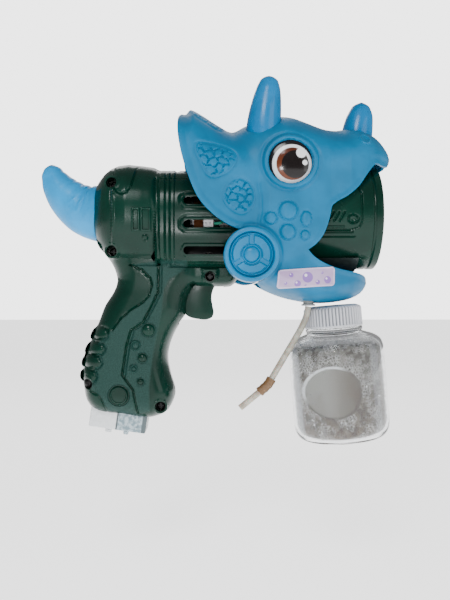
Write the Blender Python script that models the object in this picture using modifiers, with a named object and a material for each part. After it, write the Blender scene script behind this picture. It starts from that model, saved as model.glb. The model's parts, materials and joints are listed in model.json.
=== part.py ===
"""Dinosaur bubble blaster with its bottle: housing, head, fan, pump, battery tray and trigger.

The toy is held upright by its pistol grip. +X is the way it blows, +Z is up and the
halves of its shells meet at y = 0. Its right side is at -Y. The origin is the middle
of the grip. Lengths are in metres, written as millimetres times MM.
"""
import math

import bmesh
import bpy
import numpy as np
from mathutils import Matrix, Vector
from mathutils.geometry import delaunay_2d_cdt

MM = 0.001
GAP = 0.3 * MM                 # between two pieces that touch
SPLIT = 0.15 * MM              # each moulded half stops this far from y = 0
WALL = 2.0 * MM                # housing and head wall

# Axes of the turned pieces
BARREL_Z = 81 * MM             # motor, fan, wiper and nozzle
DOME_Z = 84 * MM               # rear dome and tail
NOZZLE_R = 32.5 * MM
NOZZLE_REAR = 104.5 * MM
NOZZLE_RIM = 151 * MM

# Grip and trigger
GRIP_HALF = 18.5 * MM
BRIDGE_HALF = 15.0 * MM
TRIGGER_POST = (50.9 * MM, 43.4 * MM)
POST_R = 4.4 * MM

# Battery tray, leaning with the grip
TRAY_FOOT = (-7.4 * MM, -52.5 * MM)
TRAY_LEAN = math.radians(8.2)
TRAY_SIZE = (35.6 * MM, 19.2 * MM, 62.0 * MM)
CELL_R = 7.1 * MM
CELL_LENGTH = 49.2 * MM

# Bottle, leaning forward at its base
CAP_TOP = (129.1 * MM, 25.3 * MM)
BOTTLE_LEAN = math.radians(4.8)
CAP_R = 18.3 * MM
CAP_HEIGHT = 13.5 * MM
BOTTLE_R = 29.0 * MM
BOTTLE_HEIGHT = 85.0 * MM      # cap top to base

# Gears
MODULE = 0.6 * MM
PINION_TEETH = 9
WHEEL_TEETH = 36
CENTRES = MODULE * (PINION_TEETH + WHEEL_TEETH) / 2
LAYSHAFT_Z = BARREL_Z - CENTRES

# Free tube
TUBE_R = 2.0 * MM
TUBE_SIDE = -12.0 * MM
TUBE_EXIT = (112.3 * MM, 23.6 * MM)


def pts(*pairs):
    """Millimetre pairs as metre pairs."""
    return [(a * MM, b * MM) for a, b in pairs]


# Housing silhouette, each run smooth in itself
HOUSING_TOP = pts((-20.5, 101.1), (-17.3, 105.6), (-14.7, 108.8), (-10.9, 111.7), (-6.4, 113.6),
                  (0, 114.4), (9, 113.5), (15, 112.7), (19.5, 111.3), (24, 110.5), (30, 110.5))
HOUSING_CREST = pts((30, 110.5), (104, 110.5))
HOUSING_FRONT = pts((104, 110.5), (104, 49.5))
HOUSING_KEEL = pts((104, 49.5), (69, 49.5))
HOUSING_BRIDGE = pts((69, 49.5), (68.4, 42.5), (65.6, 38.6), (61, 37.1), (50, 37.1), (41.2, 37.1))
HOUSING_RECESS = pts((41.2, 37.1), (38, 32), (36.4, 26), (36.3, 20.2))
GRIP_FRONT = pts((36.3, 20.2), (29.4, 10.2), (25.4, 0.5), (24.3, -8.3), (26, -18), (28.8, -28),
                 (27.4, -35.5), (23, -41.8), (15, -45.2), (6, -45.4), (-4, -43.6), (-14.7, -42.6),
                 (-22.4, -39.8), (-26.9, -34.2), (-28.6, -26), (-29.2, -17), (-27.4, -6),
                 (-23.6, 5), (-19.4, 15), (-15.4, 25.4), (-10, 34), (-7.7, 41), (-9.6, 48.6),
                 (-13.6, 55.6), (-17.3, 61), (-20.5, 66.9))
HOUSING_REAR = pts((-20.5, 66.9), (-20.5, 101.1))

# Head silhouette
HEAD_TOP = pts((33.5, 150.2), (36.5, 150.9), (44.8, 145.6), (57.6, 137.4), (64.5, 134.2), (72.3, 138.0),
               (80, 140.9), (88.3, 143.3), (95.4, 144.3), (102.4, 143.6), (110, 141), (117.1, 138.2),
               (123, 136.2), (129.3, 135.7), (135, 136.6), (142.1, 136.2), (148.5, 134.6),
               (153.6, 132.4), (157.6, 129.2), (161, 125), (163.4, 121), (164.2, 117.1), (162.8, 113.4))
HEAD_LIP = pts((162.8, 113.4), (159, 111.8), (155.4, 111.6), (152, 112), (149.4, 110.6), (144.6, 104.7),
               (139, 96.8), (132.2, 90.7), (126.4, 87.4))
HEAD_CORNER = pts((126.4, 87.4), (122.6, 84.2), (121.7, 80.6), (120.3, 74.7), (117.4, 67.2),
                  (113.4, 61.9), (108.8, 58.4))
JAW_EDGE = pts((108.8, 58.4), (111.9, 54.9), (116.2, 52), (122.4, 49.3), (128.8, 47.4), (136, 46.1),
               (142.5, 44.8), (146.8, 43.4), (149.8, 41))
JAW_KEEL = pts((149.8, 41), (149.2, 37.6), (146.4, 33.6), (141.4, 30.4), (134.4, 28.2), (124.8, 26.9),
               (115.2, 26.9), (105.6, 28.2), (96, 30.6), (86.4, 34.4), (76.8, 39.4))
HEAD_NAPE = pts((76.8, 39.4), (72, 50), (70, 60), (69.5, 70))
FRILL_RIM = pts((69.5, 70), (66.6, 70.5), (60.8, 72.9), (53.3, 77.8), (46.5, 84.4), (41.9, 91.9),
                (37.8, 102.5), (34.5, 113.4), (32.5, 125.2), (31.6, 138.2), (32, 146), (33.5, 150.2))

EYE_AT = (98.2 * MM, 110.0 * MM)
EYE_R = 14.4 * MM
DISC_AT = (75.1 * MM, 55.2 * MM)
DISC_R = 16.1 * MM
SCREWS = pts((-8.6, 99.8), (-8.9, 58.6), (50.9, 43.4), (20.3, -37.0), (-24.6, -23.0))
SLOTS_Z = (88.6 * MM, 74.6 * MM, 58.7 * MM)


# ---------------------------------------------------------------- outlines

def smooth(points, step):
    """Points along a Catmull-Rom curve through an open run, about step apart."""
    p = [np.array(q, float) for q in points]
    p = [2 * p[0] - p[1]] + p + [2 * p[-1] - p[-2]]
    out = []
    for i in range(1, len(p) - 2):
        count = max(1, round(np.linalg.norm(p[i + 1] - p[i]) / step))
        for k in range(count):
            t = k / count
            out.append(0.5 * (2 * p[i] + (p[i + 1] - p[i - 1]) * t
                              + (2 * p[i - 1] - 5 * p[i] + 4 * p[i + 1] - p[i + 2]) * t * t
                              + (3 * p[i] - p[i - 1] - 3 * p[i + 1] + p[i + 2]) * t ** 3))
    out.append(p[-2])
    return np.array(out)


def chain(runs):
    """One closed ring of points from runs that share their end points."""
    return np.vstack([run[:-1] for run in runs])


def inset(run, distance):
    """A run moved to its right-hand side, into a shape that is listed clockwise."""
    tangent = np.gradient(run, axis=0)
    tangent /= np.linalg.norm(tangent, axis=1)[:, None]
    return run + distance * np.column_stack([tangent[:, 1], -tangent[:, 0]])


def distance_to(run, x, z):
    """Distance from each point to an open polyline."""
    best = np.full(np.shape(x), np.inf)
    for a, b in zip(run[:-1], run[1:]):
        d = b - a
        t = np.clip(((x - a[0]) * d[0] + (z - a[1]) * d[1]) / (d @ d), 0, 1)
        best = np.minimum(best, np.hypot(x - a[0] - t * d[0], z - a[1] - t * d[1]))
    return best


def inside(ring, x, z):
    """Which points lie in a closed ring."""
    result = np.zeros(np.shape(x), bool)
    for (x0, z0), (x1, z1) in zip(ring, np.roll(ring, -1, axis=0)):
        if z0 != z1:
            result ^= ((z0 > z) != (z1 > z)) & (x < (x1 - x0) * (z - z0) / (z1 - z0) + x0)
    return result


def rounding(depth, radius, power=2.0):
    """0 at an edge, 1 from radius inwards, along a superellipse."""
    t = np.clip(depth / radius, 0, 1)
    return (1 - (1 - t) ** power) ** (1 / power)


def fade(value, low, high):
    """0 below low, 1 above high, smooth between."""
    t = np.clip((value - low) / (high - low), 0, 1)
    return t * t * (3 - 2 * t)


# ---------------------------------------------------------------- half-thickness of the two shells

STEP = 7.5 * MM                # between points of an outline
GRID = 11.0 * MM               # between points of a moulded surface
RINGS = (1.8 * MM, 6.5 * MM)
housing_runs = [smooth(HOUSING_TOP, STEP),
                smooth(HOUSING_CREST, 12 * MM), smooth(HOUSING_FRONT, 6 * MM), smooth(HOUSING_KEEL, 12 * MM),
                smooth(HOUSING_BRIDGE, STEP), smooth(HOUSING_RECESS, STEP), smooth(GRIP_FRONT, STEP),
                smooth(HOUSING_REAR, 6 * MM)]
lower_edge = np.vstack([smooth(HOUSING_BRIDGE, STEP), smooth(HOUSING_RECESS, STEP)[1:],
                        smooth(GRIP_FRONT, STEP)[1:-3]])

head_top = smooth(HEAD_TOP, STEP)
head_lip = smooth(HEAD_LIP, STEP)
head_corner = smooth(HEAD_CORNER, STEP)
jaw_edge = smooth(JAW_EDGE, STEP)
jaw_keel = smooth(JAW_KEEL, STEP)
head_nape = smooth(HEAD_NAPE, 6 * MM)
frill_rim = smooth(FRILL_RIM, STEP)


def housing_height(x, z, wall=0.0):
    """Half-thickness of the housing at a point of its side view."""
    up = np.interp(x, [a for a, b in HOUSING_TOP], [b - DOME_Z for a, b in HOUSING_TOP]) - wall
    down = np.interp(x, [-0.0205, -0.0173, -0.0128, -0.009, 0.0], [0.017, 0.0232, 0.0296, 0.0325, 0.0335]) - wall
    dz = z - DOME_Z
    ratio = np.clip(np.where(dz > 0, dz / up, -dz / down), 0, 1)
    power = np.where(dz > 0, 2.1, 2.6)
    dome = np.where(x < 0.0176, up * (1 - ratio ** power) ** (1 / power), 0)
    dz = z - BARREL_Z
    ratio = np.clip(np.where(dz > 0, dz / (0.0295 - wall), -dz / (0.0315 - wall)), 0, 1)
    power = np.where(dz > 0, 2.3, 4.0)
    barrel = np.where(x >= 0.0176, (0.029 - wall) * (1 - ratio ** power) ** (1 / power), 0)
    front = fade(x, 0.030, 0.042)
    half = GRIP_HALF + (BRIDGE_HALF - GRIP_HALF) * front - wall
    radius = 0.013 - 0.007 * front - wall
    slab = half * rounding(distance_to(lower_edge, x, z) - wall, radius, 2.2)
    slab = slab * (1 - fade(z, 0.060, 0.072)) * (x < 0.069 - wall)
    return np.maximum(np.maximum(dome, barrel), slab)


def head_height(x, z, wall=0.0):
    """Half-thickness of the head at a point of its side view."""
    upper = np.interp(x, [0.030, 0.045, 0.060, 0.072, 0.080, 0.095, 0.110, 0.122, 0.134, 0.145, 0.155, 0.165],
                      [0.050, 0.0495, 0.0465, 0.042, 0.0405, 0.0415, 0.041, 0.039, 0.0355, 0.029, 0.0205, 0.012])
    lower = np.interp(x, [0.070, 0.090, 0.105, 0.116, 0.128, 0.138, 0.145, 0.151],
                      [0.038, 0.0395, 0.0385, 0.0355, 0.030, 0.0235, 0.0165, 0.006])
    mix = fade(z, 0.048, 0.072)
    half = upper * mix + lower * (1 - mix) - wall
    top_radius = np.interp(x, [0.030, 0.060, 0.100, 0.130, 0.150, 0.165],
                           [0.030, 0.030, 0.032, 0.026, 0.017, 0.010]) - wall
    over = rounding(distance_to(head_top, x, z) - wall, top_radius)
    under = rounding(distance_to(jaw_keel, x, z) - wall, 0.011 - wall)
    return half * over * under


# ---------------------------------------------------------------- Blender helpers

for old in list(bpy.data.objects):
    bpy.data.objects.remove(old, do_unlink=True)

toy = bpy.data.collections.new("bubble_blaster")
cutters = bpy.data.collections.new("cutters")
bpy.context.scene.collection.children.link(toy)
bpy.context.scene.collection.children.link(cutters)


def material(name, colour, roughness, metallic=0.0):
    mat = bpy.data.materials.new(name)
    mat.use_nodes = True
    shader = mat.node_tree.nodes["Principled BSDF"]
    shader.inputs["Base Color"].default_value = (*colour, 1)
    shader.inputs["Roughness"].default_value = roughness
    shader.inputs["Metallic"].default_value = metallic
    mat.diffuse_color = (*colour, 1)
    return mat


GREEN = material("housing_green", (0.006, 0.055, 0.040), 0.32)
BLUE = material("head_blue", (0.035, 0.270, 0.430), 0.38)
HORN = material("horn_blue", (0.015, 0.330, 0.520), 0.22)
EYE = material("eye_print", (0.020, 0.012, 0.008), 0.15)
BLACK = material("black_steel", (0.012, 0.012, 0.013), 0.40, 0.6)
STEEL = material("steel", (0.55, 0.55, 0.56), 0.30, 1.0)
BRASS = material("copper", (0.40, 0.14, 0.06), 0.40, 0.9)
WHITE = material("white_plastic", (0.75, 0.76, 0.76), 0.45)
SILVER = material("tray_silver", (0.62, 0.66, 0.68), 0.35, 0.3)
GREY = material("grey_plastic", (0.32, 0.33, 0.32), 0.45)
CLEAR = material("clear_plastic", (0.80, 0.83, 0.84), 0.08)
FROTH = material("froth", (0.60, 0.58, 0.55), 0.15)
TUBE = material("tube_silicone", (0.36, 0.35, 0.30), 0.35)
BROWN = material("joiner_brown", (0.13, 0.06, 0.02), 0.45)
LILAC = material("label_lilac", (0.60, 0.42, 0.66), 0.40)
BOARD = material("board_green", (0.02, 0.16, 0.05), 0.45)
CELL = material("cell_sleeve", (0.03, 0.03, 0.035), 0.30, 0.3)
WIRE = material("wire_green", (0.05, 0.45, 0.30), 0.45)


def put(name, mesh, mat=None, hidden=False):
    """A new object for a mesh, in the toy or, hidden, among the cutters."""
    obj = bpy.data.objects.new(name, mesh)
    (cutters if hidden else toy).objects.link(obj)
    if hidden:
        obj.hide_render = True
        obj.display_type = 'WIRE'
    if mat:
        mesh.materials.clear()
        mesh.materials.append(mat)
    return obj


def face_out(bm):
    """Point all the faces of a closed bmesh outwards."""
    bmesh.ops.recalc_face_normals(bm, faces=bm.faces)
    if bm.calc_volume(signed=True) < 0:
        bmesh.ops.reverse_faces(bm, faces=bm.faces)


def finish(bm, name, mat=None, hidden=False):
    """Turn a bmesh into an object with its faces pointing out."""
    face_out(bm)
    mesh = bpy.data.meshes.new(name)
    bm.to_mesh(mesh)
    bm.free()
    return put(name, mesh, mat, hidden)


def bake(obj):
    """Replace an object's mesh, or a curve object, by its evaluated mesh in world space."""
    bpy.context.view_layer.update()
    seen = obj.evaluated_get(bpy.context.evaluated_depsgraph_get())
    mesh = bpy.data.meshes.new_from_object(seen)
    bm = bmesh.new()
    bm.from_mesh(mesh)
    bm.transform(obj.matrix_world)
    bmesh.ops.remove_doubles(bm, verts=bm.verts, dist=0.5e-6)
    bmesh.ops.dissolve_degenerate(bm, edges=bm.edges, dist=0.5e-6)
    face_out(bm)
    bm.to_mesh(mesh)
    bm.free()
    name, hidden = obj.name, obj.hide_render
    bpy.data.objects.remove(obj, do_unlink=True)
    return put(name, mesh, None, hidden)


def boolean(target, tool, operation='DIFFERENCE'):
    """Cut a tool from a target, or join it on, with a Boolean modifier."""
    modifier = target.modifiers.new(tool.name, 'BOOLEAN')
    modifier.object = tool
    modifier.operation = operation
    modifier.solver = 'EXACT'
    return target


AXES = {'X': Matrix.Rotation(math.radians(90), 4, 'Y'), 'Y': Matrix.Rotation(math.radians(-90), 4, 'X'),
        'Z': Matrix.Identity(4)}


def place(at, axis='Z', lean=0.0):
    """Matrix that stands local +Z along an axis at a point, leaning about Y."""
    return Matrix.Translation(Vector(at)) @ Matrix.Rotation(lean, 4, 'Y') @ AXES[axis]


def cylinder(name, radius, start, end, at, axis='Z', mat=None, hidden=False, sides=24, lean=0.0, top=None):
    """A cylinder or cone between two heights along its axis."""
    bm = bmesh.new()
    bmesh.ops.create_cone(bm, cap_ends=True, segments=sides, radius1=radius,
                          radius2=radius if top is None else top, depth=end - start)
    bm.transform(place(at, axis, lean) @ Matrix.Translation((0, 0, (start + end) / 2)))
    return finish(bm, name, mat, hidden)


def box(name, low, high, mat=None, hidden=False, at=(0, 0, 0), lean=0.0):
    """A box between two corners, in a frame that may lean."""
    bm = bmesh.new()
    bmesh.ops.create_cube(bm, size=1)
    size = [b - a for a, b in zip(low, high)]
    middle = [(a + b) / 2 for a, b in zip(low, high)]
    bm.transform(place(at, 'Z', lean) @ Matrix.Translation(middle) @ Matrix.Diagonal((*size, 1)))
    return finish(bm, name, mat, hidden)


def turned(name, profile, at, axis='Z', mat=None, hidden=False, steps=32, lean=0.0):
    """A turned solid. The profile lists radius and height, down the outer side first."""
    mesh = bpy.data.meshes.new(name)
    count = len(profile)
    edges = [(i, (i + 1) % count) for i in range(count)]
    edges = [(i, j) for i, j in edges if profile[i][0] > 0 or profile[j][0] > 0]
    mesh.from_pydata([(r, 0, h) for r, h in profile], edges, [])
    obj = put(name, mesh, None, hidden)
    obj.matrix_world = place(at, axis, lean)
    screw = obj.modifiers.new("turn", 'SCREW')
    screw.steps = steps
    screw.render_steps = steps
    screw.use_merge_vertices = True
    screw.merge_threshold = 1e-6
    obj = bake(obj)
    if mat:
        obj.data.materials.append(mat)
    return obj


def slab(name, outline, low, high, mat=None, hidden=False, axis='Y'):
    """A flat outline in XZ between two values of y, or in YZ between two values of x."""
    curve = bpy.data.curves.new(name, 'CURVE')
    curve.dimensions = '2D'
    curve.fill_mode = 'BOTH'
    curve.extrude = (high - low) / 2
    spline = curve.splines.new('POLY')
    spline.points.add(len(outline) - 1)
    for point, (a, b) in zip(spline.points, outline):
        point.co = (a, b, 0, 1)
    spline.use_cyclic_u = True
    obj = bpy.data.objects.new(name, curve)
    (cutters if hidden else toy).objects.link(obj)
    obj.hide_render = hidden
    middle = (low + high) / 2
    if axis == 'Y':
        obj.matrix_world = Matrix.Translation((0, middle, 0)) @ Matrix.Rotation(math.radians(90), 4, 'X')
    else:
        obj.matrix_world = Matrix(((0, 0, 1, middle), (1, 0, 0, 0), (0, 1, 0, 0), (0, 0, 0, 1)))
    obj = bake(obj)
    if mat:
        obj.data.materials.append(mat)
    return obj


def tube(name, points, radius, mat=None, hidden=False, resolution=2, radii=None):
    """A round bar along a run of 3-D points, with an optional radius at each."""
    curve = bpy.data.curves.new(name, 'CURVE')
    curve.dimensions = '3D'
    curve.bevel_depth = radius
    curve.bevel_resolution = resolution
    curve.use_fill_caps = True
    spline = curve.splines.new('POLY')
    spline.points.add(len(points) - 1)
    for i, point in enumerate(spline.points):
        point.co = (*points[i], 1)
        point.radius = radii[i] / radius if radii else 1
    obj = bpy.data.objects.new(name, curve)
    (cutters if hidden else toy).objects.link(obj)
    obj.hide_render = hidden
    obj = bake(obj)
    if mat:
        obj.data.materials.append(mat)
    return obj


def mirrored(obj, name):
    """A copy of a right-hand piece for the left side."""
    bm = bmesh.new()
    bm.from_mesh(obj.data)
    bmesh.ops.scale(bm, vec=(1, -1, 1), verts=bm.verts)
    mat = obj.data.materials[0] if obj.data.materials else None
    return finish(bm, name, mat, obj.hide_render)


def moulded(name, runs, height, back, mat=None, hidden=False, seam=SPLIT):
    """Right half of a moulded form: a side-view outline raised by a height function.

    Where the height is zero at the outline, the front meets the flat back there. The
    surface gets extra points at the depths of RINGS inside the outline and on a grid.
    """
    ring = chain(runs)
    low, high = ring.min(axis=0), ring.max(axis=0)
    extra = []
    for depth in RINGS:
        for run in runs:
            extra.extend(inset(run, depth)[1:-1])
    row = 0
    z = low[1] + GRID / 2
    while z < high[1]:
        x = low[0] + GRID * (0.5 if row % 2 else 1.0)
        while x < high[0]:
            extra.append((x, z))
            x += GRID
        z += GRID * 0.87
        row += 1
    extra = np.array(extra)
    closed = np.vstack([ring, ring[:1]])
    clear = distance_to(closed, extra[:, 0], extra[:, 1])
    extra = extra[inside(ring, extra[:, 0], extra[:, 1]) & (clear > 0.9 * RINGS[0])]
    kept = []
    for point in extra:
        near = 0.45 * min(GRID, distance_to(closed, *point) + 2 * RINGS[0])
        if all(abs(point[0] - q[0]) > near or abs(point[1] - q[1]) > near for q in kept):
            kept.append(point)
    flat = [Vector(p) for p in ring] + [Vector(p) for p in kept]
    count = len(ring)
    border = [(i, (i + 1) % count) for i in range(count)]
    front = delaunay_2d_cdt(flat, border, [list(range(count))], 1, 1e-7)
    rear = delaunay_2d_cdt(flat[:count], [], [list(range(count))], 1, 1e-7)
    bm = bmesh.new()

    def raised(p):
        return float(height(np.array([p[0]]), np.array([p[1]]))[0])

    on_edge = {}
    for i in range(count):
        rise = raised(flat[i])
        base = bm.verts.new((flat[i][0], back, flat[i][1]))
        top = base
        if rise > 0.3 * MM or back > 0:
            top = bm.verts.new((flat[i][0], -seam - rise, flat[i][1]))
        on_edge[i] = (top, base)

    def corner(result, index, side):
        origin = [k for k in result[3][index] if k < count]
        if origin:
            return on_edge[origin[0]][side]
        key = (side, index)
        if key not in made:
            p = result[0][index]
            made[key] = bm.verts.new((p[0], -seam - raised(p), p[1]))
        return made[key]

    made = {}
    for side, result in ((0, front), (1, rear)):
        for face in result[2]:
            corners = [corner(result, k, side) for k in face]
            if len(set(corners)) == 3:
                bm.faces.new(corners if side else corners[::-1])
    for i, j in border:
        loop = []
        for vert in (on_edge[i][0], on_edge[j][0], on_edge[j][1], on_edge[i][1]):
            if vert not in loop:
                loop.append(vert)
        if len(loop) > 2:
            bm.faces.new(loop)
    return finish(bm, name, mat, hidden)


# ---------------------------------------------------------------- moulded shells

def hollow(name, outer_runs, open_runs, height, mat):
    """A moulded half with its hollow cut out. Open runs let the hollow break through the edge."""
    closed = chain(outer_runs)
    closed = np.vstack([closed, closed[:1]])
    inner = []
    for i, run in enumerate(outer_runs):
        distance = -6 * MM if i in open_runs else WALL
        moved = inset(run, distance)
        inner.append(moved[distance_to(closed, moved[:, 0], moved[:, 1]) > 0.95 * abs(distance)])
    inner = [np.vstack([run, after[:1]]) if np.linalg.norm(run[-1] - after[0]) > 0.1 * MM else run
             for run, after in zip(inner, inner[1:] + inner[:1])]
    shell = moulded(name, outer_runs, height, -SPLIT, mat)
    core = moulded(name + "_core", inner, lambda x, z: height(x, z, WALL), 1 * MM, None, True, -0.3 * MM)
    return bake(boolean(shell, core))


def bosses(side):
    """Screw posts of one housing half, as one tool, running from the split to the wall."""
    bm = bmesh.new()
    for x, z in SCREWS:
        reach = float(housing_height(np.array([x]), np.array([z]))[0]) - 0.8 * MM
        radius = 3.0 * MM if z == SCREWS[4][1] else POST_R
        start, end = sorted((side * (SPLIT - 0.02 * MM), side * reach))
        made = bmesh.ops.create_cone(bm, cap_ends=True, segments=10, radius1=radius, radius2=radius,
                                     depth=end - start)
        bmesh.ops.transform(bm, verts=made["verts"], matrix=place((x, (start + end) / 2, z), 'Y'))
    return finish(bm, "posts", None, True)


def holes(name, radius, low, high, sides=8):
    """Holes for all the screws, as one tool."""
    bm = bmesh.new()
    for x, z in SCREWS:
        made = bmesh.ops.create_cone(bm, cap_ends=True, segments=sides, radius1=radius, radius2=radius,
                                     depth=high - low)
        bmesh.ops.transform(bm, verts=made["verts"], matrix=place((x, (low + high) / 2, z), 'Y'))
    return finish(bm, name, None, True)


def slots(y_low, y_high):
    """The three cooling slots in a barrel side."""
    bm = bmesh.new()
    for z in SLOTS_Z:
        made = bmesh.ops.create_cube(bm, size=1)
        size = Matrix.Diagonal((30 * MM, y_high - y_low, 4.8 * MM, 1))
        bmesh.ops.transform(bm, verts=made["verts"],
                            matrix=Matrix.Translation((50 * MM, (y_low + y_high) / 2, z)) @ size)
    bmesh.ops.bevel(bm, geom=[e for e in bm.edges if abs(e.verts[0].co.y - e.verts[1].co.y) > 5 * MM],
                    offset=2.3 * MM, offset_type='OFFSET', segments=2, profile=0.5, affect='EDGES')
    return finish(bm, "slots", None, True)


SCREW_SEAT = 8.5 * MM
tray_bay = box("tray_bay", (-TRAY_SIZE[0] / 2 - 0.5 * MM, -TRAY_SIZE[1] / 2 - 0.5 * MM, -8 * MM),
               (TRAY_SIZE[0] / 2 + 0.5 * MM, TRAY_SIZE[1] / 2 + 0.5 * MM, TRAY_SIZE[2] + 1 * MM),
               None, True, (TRAY_FOOT[0], 0, TRAY_FOOT[1]), TRAY_LEAN)
tail_hole = cylinder("tail_hole", 18.3 * MM, -32 * MM, -8 * MM, (0, 0, DOME_Z), 'X', None, True, 32)
trigger_slot = box("trigger_slot", (27 * MM, -7.2 * MM, 13.5 * MM), (59.5 * MM, 7.2 * MM, 38.9 * MM), None, True)
trigger_room = cylinder("trigger_room", 10.6 * MM, -7.2 * MM, 7.2 * MM, (TRIGGER_POST[0], 0, TRIGGER_POST[1]), 'Y',
                        None, True, 20)
tube_port = cylinder("tube_port", 3.8 * MM, 47 * MM, 58 * MM, (98 * MM, TUBE_SIDE, 0), 'Z', None, True, 12)


def housing_half(side):
    """One half of the housing: its wells and screw seats are on the right side."""
    name = "shell_right" if side < 0 else "shell_left"
    half = hollow(name, housing_runs, {2}, housing_height, GREEN)
    if side > 0:
        plain = mirrored(half, name + "_left")
        bpy.data.objects.remove(half, do_unlink=True)
        plain.name = name
        half = plain
    boolean(half, trigger_slot)
    boolean(half, trigger_room)
    half = bake(boolean(half, bosses(side), 'UNION'))
    if side < 0:
        boolean(half, holes("wells", 3.3 * MM, -40 * MM, -SCREW_SEAT, 12))
        boolean(half, holes("screw_holes", 1.85 * MM, -20 * MM, 3 * MM))
    else:
        boolean(half, holes("thread_holes", 1.85 * MM, -3 * MM, 10.5 * MM))
    boolean(half, slots(*sorted((side * 10 * MM, side * 40 * MM))))
    for tool in (tray_bay, tail_hole, tube_port):
        boolean(half, tool)
    half = bake(half)
    half.data.materials.append(GREEN)
    return half


housing_half(-1)
housing_half(1)

HORN_RUN = [(83.5, 23.0, 127.0), (83.6, 23.3, 133.0), (84.2, 23.6, 140.0), (85.2, 23.8, 147.5),
            (86.2, 23.9, 154.5), (86.7, 23.9, 159.5), (86.9, 23.9, 162.8), (87.0, 23.9, 164.6)]
HORN_RADII = [10.6, 10.6, 9.8, 8.4, 6.6, 4.9, 3.0, 0.6]
NOSE_RUN = [(143.8, 0.0, 130.0), (144.4, 0.0, 136.0), (145.3, 0.0, 141.5), (146.2, 0.0, 146.5),
            (146.8, 0.0, 150.8), (147.1, 0.0, 153.6), (147.2, 0.0, 155.4)]
NOSE_RADII = [9.4, 9.4, 8.6, 7.2, 5.3, 3.3, 0.6]
TAIL_RUN = [(-12.2, 0.0, 84.0), (-20.2, 0.0, 84.0), (-29.6, 0.0, 86.4), (-38.6, 0.0, 92.7),
            (-45.0, 0.0, 100.3), (-48.4, 0.0, 106.8), (-49.3, 0.0, 110.6), (-49.7, 0.0, 113.2),
            (-49.8, 0.0, 114.8)]
TAIL_RADII = [17.7, 17.7, 15.6, 13.0, 10.4, 7.8, 6.2, 4.2, 0.8]


def horn(name, run, radii, grow=0.0, mat=None, hidden=False, resolution=3, side=1):
    """A tapering round horn along a run, given in millimetres."""
    points = [Vector((x, y * side, z)) * MM for x, y, z in run]
    return tube(name, points, 1 * MM, mat, hidden, resolution, [r * MM + grow for r in radii])


def head_half(side):
    """One half of the head: snout, frill and jaw, with holes for what is set into it."""
    name = "head_right" if side < 0 else "head_left"
    runs = [head_top, head_lip, head_corner, jaw_edge, jaw_keel, head_nape, frill_rim]
    half = hollow(name, runs, {1, 2, 3, 5, 6}, head_height, BLUE)
    tools = [horn("brow_tool", HORN_RUN, HORN_RADII, GAP, None, True, 3, -1),
             horn("nose_tool", NOSE_RUN, NOSE_RADII, GAP, None, True, 3),
             cylinder("eye_hole", EYE_R + GAP, -60 * MM, -25 * MM, (EYE_AT[0], 0, EYE_AT[1]), 'Y', None, True, 28),
             cylinder("disc_hole", DISC_R + GAP, -60 * MM, -8 * MM, (DISC_AT[0], 0, DISC_AT[1]), 'Y', None,
                      True, 32)]
    for tool in tools:
        boolean(half, tool)
    half = bake(half)
    if side > 0:
        plain = mirrored(half, name + "_left")
        bpy.data.objects.remove(half, do_unlink=True)
        plain.name = name
        half = plain
    else:
        port = cylinder("outlet_hole", 3.6 * MM, 20 * MM, 33 * MM, (TUBE_EXIT[0], TUBE_SIDE, 0), 'Z', None, True, 14)
        half = bake(boolean(half, port))
    half.data.materials.append(BLUE)
    return half


head_half(-1)
head_half(1)
for word, side in (("right", -1), ("left", 1)):
    horn("brow_horn_" + word, HORN_RUN, HORN_RADII, 0, HORN, False, 3, side)
horn("nose_horn", NOSE_RUN, NOSE_RADII, 0, HORN)
tail = horn("tail", TAIL_RUN, TAIL_RADII, 0, HORN, False, 5)
tail = bake(boolean(tail, cylinder("tail_flange", 18.7 * MM, -13.4 * MM, -11.8 * MM, (0, 0, DOME_Z - 1.0 * MM), 'X',
                                   None, True, 32), 'UNION'))
tail.data.materials.append(HORN)

# Eyes, cheek discs and label
for word, side in (("right", -1), ("left", 1)):
    eye = turned("eye_" + word, [(0, 42.2 * MM), (6 * MM, 41.9 * MM), (10.5 * MM, 41 * MM), (EYE_R, 39.4 * MM),
                                 (EYE_R, 37.6 * MM), (0, 37.6 * MM)], (EYE_AT[0], 0, EYE_AT[1]), 'Y', EYE)
    disc = turned("cheek_disc_" + word,
                  [(0, 46.6 * MM), (9 * MM, 46.6 * MM), (14.2 * MM, 46.2 * MM), (DISC_R, 44.2 * MM),
                   (DISC_R, 30.2 * MM), (DISC_R - 1.8 * MM, 30.2 * MM), (DISC_R - 1.8 * MM, 43.2 * MM),
                   (0, 43.2 * MM)], (DISC_AT[0], 0, DISC_AT[1]), 'Y', HORN)
    if side < 0:
        for piece in (eye, disc):
            bmesh_side = bmesh.new()
            bmesh_side.from_mesh(piece.data)
            bmesh.ops.scale(bmesh_side, vec=(1, -1, 1), verts=bmesh_side.verts)
            face_out(bmesh_side)
            bmesh_side.to_mesh(piece.data)
            bmesh_side.free()


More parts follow.
